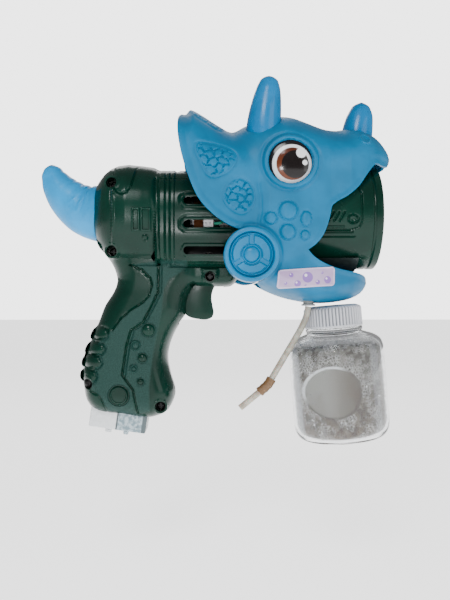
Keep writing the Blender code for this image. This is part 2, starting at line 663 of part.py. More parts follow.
def label_patch(name, lift, thick):
    """A thin sticker that follows the right jaw: a grid raised by the head's own height."""
    columns, rows = 10, 4
    bm = bmesh.new()
    layers = []
    for height in (lift, lift + thick):
        grid = []
        for i in range(columns + 1):
            for j in range(rows + 1):
                u, v = i / columns, j / rows
                x = (90.8 + 34.2 * u) * MM
                z = (35.6 + 10.6 * v + (1.7 + 0.8 * v) * u) * MM
                grid.append(bm.verts.new((x, -height - float(head_height(np.array([x]), np.array([z]))[0]), z)))
        layers.append(grid)
    for grid in layers:
        for i in range(columns):
            for j in range(rows):
                k = i * (rows + 1) + j
                bm.faces.new((grid[k], grid[k + 1], grid[k + rows + 2], grid[k + rows + 1]))
    rim = [i * (rows + 1) for i in range(columns + 1)]
    rim += [columns * (rows + 1) + j for j in range(1, rows + 1)]
    rim += [i * (rows + 1) + rows for i in range(columns - 1, -1, -1)]
    rim += [j for j in range(rows - 1, 0, -1)]
    for a, b in zip(rim, rim[1:] + rim[:1]):
        bm.faces.new((layers[0][a], layers[0][b], layers[1][b], layers[1][a]))
    return finish(bm, name, LILAC)


label_patch("jaw_label", 0.7 * MM, 0.3 * MM)

# ---------------------------------------------------------------- nozzle, drip tray and bubble works

AXIS = (0, 0, BARREL_Z)
turned("nozzle", [(NOZZLE_R, NOZZLE_RIM), (NOZZLE_R, NOZZLE_REAR), (30.3 * MM, NOZZLE_REAR),
                  (30.3 * MM, NOZZLE_RIM)], AXIS, 'X', GREEN, False, 40)
arc = [math.radians(a) for a in range(-138, -41, 8)]
tray_outline = [(34.7 * MM * math.cos(a), BARREL_Z + 34.7 * MM * math.sin(a)) for a in arc]
tray_outline += [(33.2 * MM * math.cos(a), BARREL_Z + 33.2 * MM * math.sin(a)) for a in reversed(arc)]
slab("drip_tray", tray_outline, 113 * MM, 142 * MM, GREY, False, 'X')


def drilled(obj, holes_list, low, high, sides=12):
    """Drill holes along X through a piece: each is y, z and radius in metres."""
    bm = bmesh.new()
    for y, z, radius in holes_list:
        made = bmesh.ops.create_cone(bm, cap_ends=True, segments=sides, radius1=radius, radius2=radius,
                                     depth=high - low)
        bmesh.ops.transform(bm, verts=made["verts"], matrix=place(((low + high) / 2, y, z), 'X'))
    name, mat = obj.name, obj.data.materials[0]
    tool = finish(bm, name + "_holes", None, True)
    obj = bake(boolean(obj, tool))
    obj.data.materials.append(mat)
    return obj


def around(count, radius, hole, start=0.0):
    """Holes spaced evenly round the barrel axis."""
    angles = [start + 2 * math.pi * i / count for i in range(count)]
    return [(radius * math.cos(a), BARREL_Z + radius * math.sin(a), hole) for a in angles]


CENTRE_HOLE = (0, BARREL_Z, 1.8 * MM)
LAY_HOLE = (0, LAYSHAFT_Z, 1.5 * MM)
plate = cylinder("bubble_plate", 29.8 * MM, 114 * MM, 116 * MM, AXIS, 'X', GREY, False, 40)
drilled(plate, around(6, 19 * MM, 6 * MM) + [CENTRE_HOLE], 110 * MM, 120 * MM, 16)
plate = cylinder("gear_plate", 26.2 * MM, 82.6 * MM, 84.2 * MM, AXIS, 'X', GREY, False, 28)
drilled(plate, around(5, 18 * MM, 4.5 * MM, math.pi / 2) + [CENTRE_HOLE, LAY_HOLE], 80 * MM, 87 * MM)
plate = cylinder("front_plate", 22 * MM, 100 * MM, 101.4 * MM, AXIS, 'X', GREY, False, 28)
drilled(plate, around(5, 15.5 * MM, 4 * MM, math.pi / 2) + [CENTRE_HOLE, LAY_HOLE], 97 * MM, 104 * MM)


def bored(name, bore, low, high, mat, *tools, centre=AXIS):
    """Join the tools on to a new piece in turn and bore it through along X."""
    piece = tools[0]
    for tool in tools[1:]:
        piece = bake(boolean(piece, tool, 'UNION'))
    hole = cylinder(name + "_bore", bore, low - 1 * MM, high + 1 * MM, centre, 'X', None, True, 12)
    piece = bake(boolean(piece, hole))
    piece.name = name
    piece.data.materials.append(mat)
    return piece


def gear(name, teeth, low, high, z, mat):
    """A spur gear about an axis along X, with straight-flanked teeth and a bore."""
    pitch = MODULE * teeth / 2
    profile = []
    turn = -math.pi / 2 if teeth == PINION_TEETH and z < BARREL_Z else math.pi / 2
    for i in range(teeth):
        for share, radius in ((-0.30, pitch - 1.2 * MODULE), (-0.12, pitch + 0.9 * MODULE),
                              (0.12, pitch + 0.9 * MODULE), (0.30, pitch - 1.2 * MODULE)):
            a = turn + 2 * math.pi * (i + share) / teeth
            profile.append((radius * math.cos(a), z + radius * math.sin(a)))
    blank = slab(name, profile, low, high, None, False, 'X')
    return bored(name, 1.3 * MM if z == BARREL_Z and teeth == PINION_TEETH else
                 (1.8 * MM if z == BARREL_Z else 1.5 * MM), low, high, mat, blank, centre=(0, 0, z))


# Motor, its shaft and fan
turned("motor", [(1.3 * MM, 66 * MM), (4 * MM, 66 * MM), (4 * MM, 64.4 * MM), (10 * MM, 64.4 * MM),
                 (10 * MM, 40 * MM), (3.5 * MM, 40 * MM), (3.5 * MM, 38.6 * MM), (1.3 * MM, 38.6 * MM)],
       AXIS, 'X', STEEL, False, 24)
turned("motor_band", [(11.2 * MM, 46.5 * MM), (11.2 * MM, 41 * MM), (10.3 * MM, 41 * MM), (10.3 * MM, 46.5 * MM)],
       AXIS, 'X', BRASS, False, 24)
bored("motor_cradle", 10.4 * MM, 51 * MM, 57 * MM, GREEN,
      cylinder("cradle_ring", 13 * MM, 51 * MM, 57 * MM, AXIS, 'X', None, False, 24),
      box("cradle_arms", (53 * MM, -26.2 * MM, 79 * MM), (55 * MM, 26.2 * MM, 83 * MM), None, True))
cylinder("motor_shaft", 1.0 * MM, 39.5 * MM, 88.6 * MM, AXIS, 'X', STEEL, False, 12)
blades = bmesh.new()
for index in range(8):
    made = bmesh.ops.create_cube(blades, size=1)
    blade = Matrix.Diagonal((9.4 * MM, 1.1 * MM, 13 * MM, 1))
    bmesh.ops.transform(blades, verts=made["verts"],
                        matrix=place((74.3 * MM, 0, BARREL_Z)) @ Matrix.Rotation(index * math.pi / 4, 4, 'X')
                        @ Matrix.Translation((0, 0, 14.8 * MM)) @ Matrix.Rotation(0.5, 4, 'X') @ blade)
bored("fan_impeller", 1.3 * MM, 69 * MM, 79 * MM, WHITE,
      cylinder("fan_disc", 22 * MM, 69.4 * MM, 70.6 * MM, AXIS, 'X', None, False, 28),
      cylinder("fan_hub", 4 * MM, 69.0 * MM, 78 * MM, AXIS, 'X', None, True, 16),
      finish(blades, "fan_blades", None, True))
turned("fan_duct", [(25.2 * MM, 82 * MM), (25.2 * MM, 67 * MM), (13.5 * MM, 67 * MM), (13.5 * MM, 68.4 * MM),
                    (23.8 * MM, 68.4 * MM), (23.8 * MM, 82 * MM)], AXIS, 'X', GREY, False, 32)
gear("motor_pinion", PINION_TEETH, 85 * MM, 88.2 * MM, BARREL_Z, BRASS)

# Layshaft with its wheel, pinion and pump rotor
cylinder("layshaft", 1.2 * MM, 83 * MM, 101 * MM, (0, 0, LAYSHAFT_Z), 'X', STEEL, False, 12)
gear("layshaft_wheel", WHEEL_TEETH, 85.2 * MM, 88.0 * MM, LAYSHAFT_Z, WHITE)
gear("layshaft_pinion", PINION_TEETH, 89.4 * MM, 92.6 * MM, LAYSHAFT_Z, WHITE)
pump_axis = (0, 0, LAYSHAFT_Z)
pins = bmesh.new()
ROLLER_ORBIT = 4.4 * MM
roller_spots = [(ROLLER_ORBIT * math.cos(a), ROLLER_ORBIT * math.sin(a)) for a in
                (math.radians(90), math.radians(210), math.radians(330))]
for y, z in roller_spots:
    made = bmesh.ops.create_cone(pins, cap_ends=True, segments=10, radius1=0.7 * MM, radius2=0.7 * MM,
                                 depth=4.6 * MM)
    bmesh.ops.transform(pins, verts=made["verts"], matrix=place((96.5 * MM, y, LAYSHAFT_Z + z), 'X'))
bored("pump_rotor", 1.5 * MM, 93 * MM, 96 * MM, WHITE,
      cylinder("rotor_disc", 6.0 * MM, 93.4 * MM, 94.8 * MM, pump_axis, 'X', None, False, 20),
      finish(pins, "rotor_pins", None, True), centre=pump_axis)
for index, (y, z) in enumerate(roller_spots):
    turned(f"pump_roller_{index + 1}", [(1.6 * MM, 98.4 * MM), (1.6 * MM, 95.2 * MM), (1.0 * MM, 95.2 * MM),
                                        (1.0 * MM, 98.4 * MM)], (0, y, LAYSHAFT_Z + z), 'X', STEEL, False, 12)
body = turned("pump_body", [(11.3 * MM, 99.2 * MM), (11.3 * MM, 94.2 * MM), (10.1 * MM, 94.2 * MM),
                            (10.1 * MM, 99.2 * MM)], pump_axis, 'X', GREY, False, 28)
body = bake(boolean(body, box("pump_gap", (93 * MM, -9.4 * MM, 52 * MM), (101 * MM, 9.4 * MM, 63.6 * MM), None, True)))
body.data.materials.append(GREY)

# Wiper, driven by the second wheel
gear("wiper_wheel", WHEEL_TEETH, 89.6 * MM, 92.4 * MM, BARREL_Z, WHITE)
cylinder("wiper_shaft", 1.5 * MM, 89.2 * MM, 121 * MM, AXIS, 'X', STEEL, False, 12)
bored("wiper", 1.8 * MM, 117 * MM, 121 * MM, WHITE,
      cylinder("wiper_hub", 4.5 * MM, 117 * MM, 120.4 * MM, AXIS, 'X', None, False, 16),
      box("wiper_arms", (117.4 * MM, -2.5 * MM, BARREL_Z - 27 * MM), (119.4 * MM, 2.5 * MM, BARREL_Z + 27 * MM),
          None, True))

# ---------------------------------------------------------------- trigger, switch, board and wiring

trigger_outline = pts((58.0, 43.4), (57.2, 46.6), (54.6, 49.4), (50.9, 50.4), (47.2, 49.4), (44.6, 46.6),
                      (44.0, 40.6), (42.6, 36.6), (39.2, 30), (37.3, 25), (37.3, 20), (40.2, 17.8),
                      (44.8, 16.5), (49.3, 16.5), (52.3, 18), (53.3, 21.2), (52.5, 25.4), (51.9, 31),
                      (53.4, 36.6), (56.2, 39.8))
trigger = slab("trigger", trigger_outline, -6.4 * MM, 6.4 * MM, GREEN)
trigger = bake(boolean(trigger, cylinder("trigger_bore", POST_R + GAP, -8 * MM, 8 * MM,
                                         (TRIGGER_POST[0], 0, TRIGGER_POST[1]), 'Y', None, True, 14)))
trigger.data.materials.append(GREEN)
turns = []
for index in range(37):
    angle = 2 * math.pi * index / 12
    turns.append((TRIGGER_POST[0] + 3.4 * MM * math.cos(angle), (1.2 * index / 12 - 1.8) * MM,
                  TRIGGER_POST[1] + 12 * MM + 3.4 * MM * math.sin(angle)))
tube("trigger_spring", turns, 0.4 * MM, STEEL, False, 0)
switch = box("trigger_switch", (22 * MM, -4 * MM, 25 * MM), (31 * MM, 4 * MM, 40 * MM), BLACK)
switch = bake(boolean(switch, box("switch_button", (30.5 * MM, -1.5 * MM, 29 * MM), (32.4 * MM, 1.5 * MM, 33 * MM),
                                  None, True), 'UNION'))
switch.data.materials.append(BLACK)
box("circuit_board", (-4 * MM, 9 * MM, 70 * MM), (22 * MM, 10.4 * MM, 98 * MM), BOARD)
plug = box("wire_plug", (47.3 * MM, -24.6 * MM, 73.2 * MM), (53.0 * MM, -20.6 * MM, 77.2 * MM), WHITE)
for x in (48.2, 50.6):
    boolean(plug, box("plug_hole", (x * MM, -26 * MM, 74.7 * MM), ((x + 1.1) * MM, -22.5 * MM, 75.8 * MM), None, True))
plug = bake(plug)
plug.data.materials.append(WHITE)
tube("plug_wire", [Vector(p) * MM for p in ((53.4, -22.6, 75.2), (57, -22.4, 75.6), (60, -20.6, 77.2),
                                             (61.4, -17.2, 79.6), (61.6, -13.6, 81.6))], 0.9 * MM, WIRE)
tube("battery_wire", [Vector(p) * MM for p in ((8, 2, 13), (11, 4, 26), (11, 6.5, 42), (9, 8, 56), (8.5, 8.8, 68.8))],
     0.8 * MM, BLACK)

# Screws: one node each
for index, (x, z) in enumerate(SCREWS):
    turned(f"shell_screw_{index + 1}",
           [(0, 10 * MM), (1.4 * MM, 9.5 * MM), (1.4 * MM, -SCREW_SEAT - 0.3 * MM),
            (2.7 * MM, -SCREW_SEAT - 0.3 * MM), (2.7 * MM, -SCREW_SEAT - 2.6 * MM),
            (0.9 * MM, -SCREW_SEAT - 3.1 * MM), (0.9 * MM, -SCREW_SEAT - 2.3 * MM),
            (0, -SCREW_SEAT - 2.3 * MM)], (x, 0, z), 'Y', BLACK, False, 12)

# ---------------------------------------------------------------- battery tray

FOOT = (TRAY_FOOT[0], 0, TRAY_FOOT[1])
HALF_X, HALF_Y, TALL = TRAY_SIZE[0] / 2, TRAY_SIZE[1] / 2, TRAY_SIZE[2]
tray = box("battery_tray", (-HALF_X, -HALF_Y, 0), (HALF_X, HALF_Y, TALL), SILVER, False, FOOT, TRAY_LEAN)
boolean(tray, box("tray_pocket", (-HALF_X + 1.5 * MM, -HALF_Y + 1.3 * MM, 3 * MM),
                  (HALF_X - 1.5 * MM, HALF_Y - 1.3 * MM, TALL + 2 * MM), None, True, FOOT, TRAY_LEAN))
for low, high in ((-8, -4), (3.6, 6.8)):
    boolean(tray, box("tray_hook", (low * MM, -3 * MM, -3.4 * MM), (high * MM, 1 * MM, 0.5 * MM), None, True,
                      FOOT, TRAY_LEAN), 'UNION')
tray = bake(tray)
tray.data.materials.append(SILVER)
for index, side in enumerate((-1, 1)):
    cell_at = place(FOOT, 'Z', TRAY_LEAN) @ Vector((side * 7.9 * MM, 0, 4.6 * MM))
    turned(f"cell_{index + 1}", [(0, CELL_LENGTH + 1.2 * MM), (2.7 * MM, CELL_LENGTH + 1.2 * MM),
                                 (2.7 * MM, CELL_LENGTH), (CELL_R, CELL_LENGTH), (CELL_R, 0), (0, 0)],
           cell_at, 'Z', CELL, False, 20, TRAY_LEAN)
box("tray_cap", (-15.9 * MM, -7.9 * MM, 56.4 * MM), (15.9 * MM, 7.9 * MM, 59.4 * MM), SILVER, False, FOOT, TRAY_LEAN)

# ---------------------------------------------------------------- bottle

TOP = (CAP_TOP[0], 0, CAP_TOP[1])
turned("bottle_cap", [(0, 0), (CAP_R - 1.1 * MM, 0), (CAP_R, -1.1 * MM), (CAP_R, -CAP_HEIGHT),
                      (CAP_R - 1.2 * MM, -CAP_HEIGHT), (CAP_R - 1.2 * MM, -1.8 * MM), (0, -1.8 * MM)],
       TOP, 'Z', WHITE, False, 24, -BOTTLE_LEAN)
BASE = -BOTTLE_HEIGHT
turned("bottle", [(16.6 * MM, -3.6 * MM), (16.6 * MM, -14 * MM), (18 * MM, -14.2 * MM), (18 * MM, -16.2 * MM),
                  (17 * MM, -17 * MM), (24 * MM, -19.8 * MM), (27.6 * MM, -22.6 * MM), (BOTTLE_R, -27 * MM),
                  (BOTTLE_R, BASE + 9 * MM), (27.8 * MM, BASE + 4.2 * MM), (25.2 * MM, BASE + 1.2 * MM),
                  (21 * MM, BASE), (0, BASE), (0, BASE + 1.6 * MM), (20.4 * MM, BASE + 1.6 * MM),
                  (24.2 * MM, BASE + 2.6 * MM), (26.6 * MM, BASE + 5.2 * MM), (27.7 * MM, BASE + 9.4 * MM),
                  (27.7 * MM, -27.4 * MM), (26.4 * MM, -23.6 * MM), (23.2 * MM, -21.1 * MM),
                  (15.4 * MM, -18 * MM), (15.4 * MM, -3.6 * MM)],
       TOP, 'Z', CLEAR, False, 24, -BOTTLE_LEAN)
turned("bubble_liquid", [(0, -24.6 * MM), (25.6 * MM, -25 * MM), (27.2 * MM, -28.5 * MM),
                         (27.2 * MM, BASE + 9.6 * MM), (26.0 * MM, BASE + 5.8 * MM), (23.8 * MM, BASE + 3.4 * MM),
                         (20.2 * MM, BASE + 2.2 * MM), (0, BASE + 2.2 * MM)],
       TOP, 'Z', FROTH, False, 24, -BOTTLE_LEAN)

# ---------------------------------------------------------------- tubes

turned("tube_grommet", [(3.3 * MM, 31 * MM), (3.3 * MM, 26.4 * MM), (4.3 * MM, 26.2 * MM), (4.3 * MM, 25.2 * MM),
                        (2.4 * MM, 25.2 * MM), (2.4 * MM, 31 * MM)],
       (TUBE_EXIT[0], TUBE_SIDE, 0), 'Z', GREY, False, 16)
SUCTION_ROUTE = pts((112.3, 24.8), (111.6, 20.8), (110.2, 16.4), (107.8, 11.2), (104.4, 5.2), (100.6, -1.2),
                    (96.8, -7.6), (93, -14), (89.6, -19.8))
JOINER_ROUTE = pts((89.4, -20.2), (87.4, -23.4), (84.8, -26), (81.6, -28.7))
TIP_ROUTE = pts((81.3, -28.95), (76.8, -32.6), (73.2, -35.6), (69.7, -38.4))


def route(points, step):
    """3-D points along a smooth run beside the bottle."""
    return [(x, TUBE_SIDE, z) for x, z in smooth(points, step)]


tube("suction_tube", route(SUCTION_ROUTE, 4 * MM), TUBE_R, TUBE, False, 2)
tube("tube_joiner", route(JOINER_ROUTE, 3 * MM), 2.9 * MM, BROWN, False, 2)
tube("tube_tip", route(TIP_ROUTE, 4 * MM), TUBE_R, TUBE, False, 2)

INNER_R = 1.6 * MM
loop = [(96.8, 8.1 * math.cos(math.radians(a)), LAYSHAFT_Z / MM + 8.1 * math.sin(math.radians(a)))
        for a in range(232, -52, -19)]
pump_run = [(112.3, -12, 25.6), (112.3, -12, 31), (112, -12, 35.5), (110, -12, 40), (106, -12, 43.6),
            (101.5, -12, 45.8), (98.6, -12, 48.8), (98, -11.6, 52), (97.4, -9.4, 54.6), (97, -7, 56.4), (96.8, -5.5, 58.6)] + loop + \
           [(97.2, 6.6, 58), (99, 8, 56.6), (102.5, 8.4, 56), (108, 8.4, 56), (113.4, 8.4, 56.2)]
tube("pump_tube", [Vector(p) * MM for p in pump_run], INNER_R, TUBE, False, 1)
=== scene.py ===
import json
import math

import bmesh
import bpy
import numpy as np
from mathutils import Matrix, Vector
from mathutils.geometry import delaunay_2d_cdt

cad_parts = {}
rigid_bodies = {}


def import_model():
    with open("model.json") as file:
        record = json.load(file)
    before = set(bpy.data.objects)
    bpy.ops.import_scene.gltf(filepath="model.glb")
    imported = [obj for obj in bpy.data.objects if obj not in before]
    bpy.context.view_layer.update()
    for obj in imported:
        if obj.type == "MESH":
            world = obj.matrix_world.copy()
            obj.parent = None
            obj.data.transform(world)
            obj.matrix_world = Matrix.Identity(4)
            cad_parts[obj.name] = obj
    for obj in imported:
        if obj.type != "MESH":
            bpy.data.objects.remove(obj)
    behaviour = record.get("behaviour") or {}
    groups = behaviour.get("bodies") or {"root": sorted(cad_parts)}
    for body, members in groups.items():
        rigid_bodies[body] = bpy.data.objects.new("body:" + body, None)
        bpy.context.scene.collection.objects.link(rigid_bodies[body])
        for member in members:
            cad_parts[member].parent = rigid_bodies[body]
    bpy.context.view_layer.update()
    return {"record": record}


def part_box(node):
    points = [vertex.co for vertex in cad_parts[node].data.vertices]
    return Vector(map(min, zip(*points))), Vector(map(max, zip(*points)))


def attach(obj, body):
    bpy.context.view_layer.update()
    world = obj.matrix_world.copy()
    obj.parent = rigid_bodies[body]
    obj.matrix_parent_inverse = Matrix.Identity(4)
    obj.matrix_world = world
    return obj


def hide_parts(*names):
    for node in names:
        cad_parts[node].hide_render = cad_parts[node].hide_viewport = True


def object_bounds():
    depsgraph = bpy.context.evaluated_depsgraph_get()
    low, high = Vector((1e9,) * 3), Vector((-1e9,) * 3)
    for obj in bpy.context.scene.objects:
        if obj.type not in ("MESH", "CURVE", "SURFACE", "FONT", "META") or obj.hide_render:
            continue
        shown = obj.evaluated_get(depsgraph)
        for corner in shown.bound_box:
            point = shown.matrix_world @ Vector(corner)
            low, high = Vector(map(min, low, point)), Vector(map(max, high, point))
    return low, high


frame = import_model()
mm = 0.001

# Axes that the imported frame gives
nozzleLow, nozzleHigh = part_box("nozzle")
barrelZ = (nozzleLow.z + nozzleHigh.z) / 2          # axis of barrel and nozzle
domeZ = barrelZ + 3 * mm                            # axis of rear dome and tail
print("frame loaded")

# ---- camera, floor and lights

camera = bpy.data.cameras.new("camera")
camera.sensor_fit = 'AUTO'
camera.sensor_width = 36
shot = {"target": Vector((0.0605, 0, 0.0288)), "distance": 0.450, "behind": 1.0, "above": 0.0, "tall": 0.384}
camera.lens = camera.sensor_width * shot["distance"] / shot["tall"]
camera.clip_start = 0.01
camera.dof.use_dof = False
cameraObject = bpy.data.objects.new("camera", camera)
bpy.context.scene.collection.objects.link(cameraObject)
turn, rise = math.radians(shot["behind"]), math.radians(shot["above"])
toCamera = Vector((-math.sin(turn) * math.cos(rise), -math.cos(turn) * math.cos(rise), math.sin(rise)))
cameraObject.location = shot["target"] + toCamera * shot["distance"]
cameraObject.rotation_euler = (-toCamera).to_track_quat('-Z', 'Y').to_euler()
bpy.context.scene.camera = cameraObject


def deselectAll():
    for each in bpy.data.objects:
        each.select_set(False)


def onlyActive(piece):
    deselectAll()
    piece.select_set(True)
    bpy.context.view_layer.objects.active = piece


def areaLight(name, at, aim, size, power):
    lamp = bpy.data.lights.new(name, 'AREA')
    lamp.shape = 'RECTANGLE'
    lamp.size, lamp.size_y = size
    lamp.energy = power
    lampObject = bpy.data.objects.new(name, lamp)
    bpy.context.scene.collection.objects.link(lampObject)
    lampObject.location = at
    lampObject.rotation_euler = (Vector(aim) - Vector(at)).to_track_quat('-Z', 'Y').to_euler()


middle = (0.06, 0, 0.04)
areaLight("keyLight", (-0.10, -0.75, 0.62), middle, (0.30, 0.30), 4.4)
areaLight("fillLight", (0.70, -0.60, 0.25), middle, (0.50, 0.50), 2.0)
areaLight("lampBesideCamera", (0.01, -0.50, 0.09), middle, (0.04, 0.03), 0.30)
areaLight("backLight", (0.0, 0.80, 0.70), middle, (0.60, 0.40), 2)

world = bpy.data.worlds.new("studio")
world.use_nodes = True
lit = world.node_tree.nodes["Background"]
lit.inputs["Color"].default_value = (1, 1, 1, 1)
lit.inputs["Strength"].default_value = 0.32
seen = world.node_tree.nodes.new('ShaderNodeBackground')         # a paler backdrop than the light it gives
seen.inputs["Color"].default_value = (1, 1, 1, 1)
seen.inputs["Strength"].default_value = 3.6
rays = world.node_tree.nodes.new('ShaderNodeLightPath')
either = world.node_tree.nodes.new('ShaderNodeMixShader')
world.node_tree.links.new(rays.outputs["Is Camera Ray"], either.inputs[0])
world.node_tree.links.new(lit.outputs[0], either.inputs[1])
world.node_tree.links.new(seen.outputs[0], either.inputs[2])
world.node_tree.links.new(either.outputs[0], world.node_tree.nodes["World Output"].inputs[0])
bpy.context.scene.world = world


# ---- materials

class Wire:                                          # an output socket that can be calculated with
    def __init__(self, finish, socket):
        self.finish = finish
        self.socket = socket

    def maths(self, operation, first, second):
        return self.finish.node('ShaderNodeMath', {"operation": operation}, {0: first, 1: second})

    def __add__(self, other):
        return self.maths('ADD', self, other)

    def __sub__(self, other):
        return self.maths('SUBTRACT', self, other)

    def __rsub__(self, other):
        return self.maths('SUBTRACT', other, self)

    def __mul__(self, other):
        return self.maths('MULTIPLY', self, other)

    def __pow__(self, other):
        return self.maths('POWER', self, other)


class Finish:                                        # a material and its Principled BSDF
    def __init__(self, name, colour, roughness, **constants):
        self.material = bpy.data.materials.new(name)
        self.material.use_nodes = True
        self.tree = self.material.node_tree
        self.shader = self.tree.nodes["Principled BSDF"]
        self.colour = (*colour, 1)
        self.shader.inputs["Base Color"].default_value = self.colour
        self.shader.inputs["Roughness"].default_value = roughness
        for socket, value in constants.items():
            self.shader.inputs[socket.replace("_", " ")].default_value = value
        self.material.diffuse_color = self.colour
        self.spot = self.node('ShaderNodeTexCoord', {}, {}, "Object")

    def node(self, kind, settings, inputs, out=0):
        made = self.tree.nodes.new(kind)
        for key, value in settings.items():
            setattr(made, key, value)
        for key, value in inputs.items():
            if isinstance(value, Wire):
                self.tree.links.new(value.socket, made.inputs[key])
            else:
                made.inputs[key].default_value = value
        return Wire(self, made.outputs[out])

    def noise(self, scale, detail):
        return self.node('ShaderNodeTexNoise', {},
                         {"Vector": self.spot, "Scale": scale, "Detail": detail}, "Fac")

    def between(self, value, low, high):             # 0 below low, 1 above high
        return self.node('ShaderNodeMapRange', {"interpolation_type": 'SMOOTHSTEP'},
                         {"Value": value, "From Min": low, "From Max": high})

    def patches(self, scale, detail, low, high):     # noise as soft patches, 0 to 1
        return self.between(self.noise(scale, detail), low, high)

    def mix(self, mask, first, second):              # first where mask is 0
        return self.node('ShaderNodeMix', {"data_type": 'RGBA'}, {0: mask, 6: first, 7: second}, 2)

    def attribute(self, name):
        return self.node('ShaderNodeAttribute', {"attribute_name": name}, {}, "Fac")

    def axes(self):                                  # X, Y and Z of the object coordinates
        made = self.tree.nodes.new('ShaderNodeSeparateXYZ')
        self.tree.links.new(self.spot.socket, made.inputs[0])
        return [Wire(self, made.outputs[index]) for index in range(3)]

    def feed(self, socket, value):
        self.tree.links.new(value.socket, self.shader.inputs[socket])

    def bump(self, height, strength, distance):
        self.feed("Normal", self.node('ShaderNodeBump', {}, {"Strength": strength, "Distance": distance,
                                                             "Height": height}, "Normal"))


def tinted(colour, factor):
    return (*(min(1, part * factor) for part in colour[:3]), 1)


def plastic(name, colour, roughness, mottle=0.12, grain=0.25, grainScale=2600, worn=1.35, **constants):
    # Moulded plastic: slow colour drift, fine skin grain, handled patches and worn edges
    made = Finish(name, colour, roughness, **constants)
    drift = made.patches(55, 3, 0.35, 0.68)
    base = made.mix(drift, tinted(made.colour, 1 - mottle), tinted(made.colour, 1 + mottle))
    pointy = made.node('ShaderNodeNewGeometry', {}, {}, "Pointiness")
    edge = made.between(pointy, 0.53, 0.60) * made.patches(420, 3, 0.35, 0.65)
    base = made.mix(edge * 0.6, base, tinted(made.colour, worn))
    made.feed("Base Color", base)
    handled = made.patches(130, 4, 0.40, 0.70)
    made.feed("Roughness", handled * 0.10 + (roughness - 0.04))
    made.bump(made.noise(grainScale, 2), grain, 0.00006)
    made.base = base
    return made


def housingGreen():
    # Gloss green with cut-in panels of a greyer, sparked texture
    made = Finish("housingGreen", (0.0020, 0.024, 0.015), 0.24, Specular_IOR_Level=0.22)
    drift = made.patches(40, 3, 0.35, 0.68)
    base = made.mix(drift, (0.0004, 0.018, 0.011, 1), (0.0008, 0.027, 0.017, 1))
    panel = made.attribute("panel")
    sparks = made.noise(1500, 4)
    greyer = made.mix(made.between(sparks, 0.35, 0.70), (0.003, 0.028, 0.022, 1), (0.014, 0.052, 0.044, 1))
    base = made.mix(panel, base, greyer)
    dust = made.patches(900, 5, 0.70, 0.80) * made.patches(38, 2, 0.45, 0.65)
    base = made.mix(dust * 0.25, base, (0.16, 0.20, 0.19, 1))
    made.feed("Base Color", base)
    handled = made.patches(110, 4, 0.40, 0.70)
    made.feed("Roughness", handled * 0.08 + 0.20 + panel * 0.26)
    made.bump(made.noise(1900, 3) * (panel * 0.85 + 0.10), 0.55, 0.00012)
    return made


def eyePaint(side):
    # A printed cartoon eye: black socket, white ring, brown iris, black pupil and two lights
    made = Finish("eyePaint" + side, (0.01, 0.01, 0.012), 0.16, Specular_IOR_Level=0.35)
    alongX, _, alongZ = made.axes()
    blur = 0.25

    def disc(x, z, radius):
        fromX = alongX - (eye["at"][0] + x * mm)
        fromZ = alongZ - (eye["at"][1] + z * mm)
        away = (fromX * fromX + fromZ * fromZ) ** 0.5
        return 1 - made.between(away, (radius - blur) * mm, (radius + blur) * mm)

    brown = made.mix(made.between(alongZ, eye["at"][1] - 10 * mm, eye["at"][1] + 9 * mm),
                     (0.14, 0.034, 0.011, 1), (0.06, 0.014, 0.006, 1))
    shade = made.mix(disc(0.8, -1.7, 11.6), (0.008, 0.007, 0.008, 1), (0.74, 0.75, 0.77, 1))
    shade = made.mix(disc(1.1, -1.5, 9.5), shade, brown)
    shade = made.mix(disc(2.7, -1.8, 8.1), shade, (0.006, 0.004, 0.004, 1))
    shade = made.mix(disc(6.2, 4.9, 3.0), shade, (0.80, 0.81, 0.83, 1))
    shade = made.mix(disc(8.4, -0.8, 1.5), shade, (0.80, 0.81, 0.83, 1))
    made.feed("Base Color", shade)
    made.feed("Roughness", made.patches(160, 3, 0.45, 0.7) * 0.06 + 0.13)
    return made


def lilacLabel():
    # A plain lavender sticker with a pale edge and a few drawn bubbles, no lettering
    made = Finish("lilacLabel", (0.46, 0.34, 0.56), 0.30, Coat_Weight=0.25)
    alongX, _, alongZ = made.axes()
    paper = made.mix(made.patches(70, 3, 0.35, 0.65), (0.38, 0.26, 0.46, 1), (0.46, 0.34, 0.54, 1))
    for x, z, radius in ((95.5, 38.6, 0.9), (98.6, 43.4, 1.3), (102.4, 38.4, 1.9), (108.4, 42.2, 3.2),
                         (107.0, 37.6, 0.7), (114.6, 39.4, 1.4), (117.4, 45.0, 0.8), (120.8, 40.8, 2.2)):
        bubble = (0, radius, (0.22, 0.10, 0.42, 1))
        light = (-0.35, radius * 0.28, (0.80, 0.74, 0.86, 1))
        for offset, size, ink in (bubble, light):
            fromX = alongX - (x + offset * radius) * mm
            fromZ = alongZ - (z - offset * radius) * mm
            away = (fromX * fromX + fromZ * fromZ) ** 0.5
            paper = made.mix(1 - made.between(away, (size - 0.15) * mm, (size + 0.15) * mm), paper, ink)
    paper = made.mix(made.attribute("border"), paper, (0.58, 0.46, 0.64, 1))
    made.feed("Base Color", paper)
    made.bump(made.noise(600, 3), 0.15, 0.0001)
    return made


def clearWall():
    # Blown clear plastic, thin, with faint waves
    made = Finish("clearWall", (0.95, 0.96, 0.97), 0.02, Transmission_Weight=1.0, IOR=1.22)
    made.feed("Roughness", made.patches(90, 3, 0.45, 0.75) * 0.015 + 0.004)
    made.bump(made.noise(75, 2), 0.12, 0.0004)
    return made


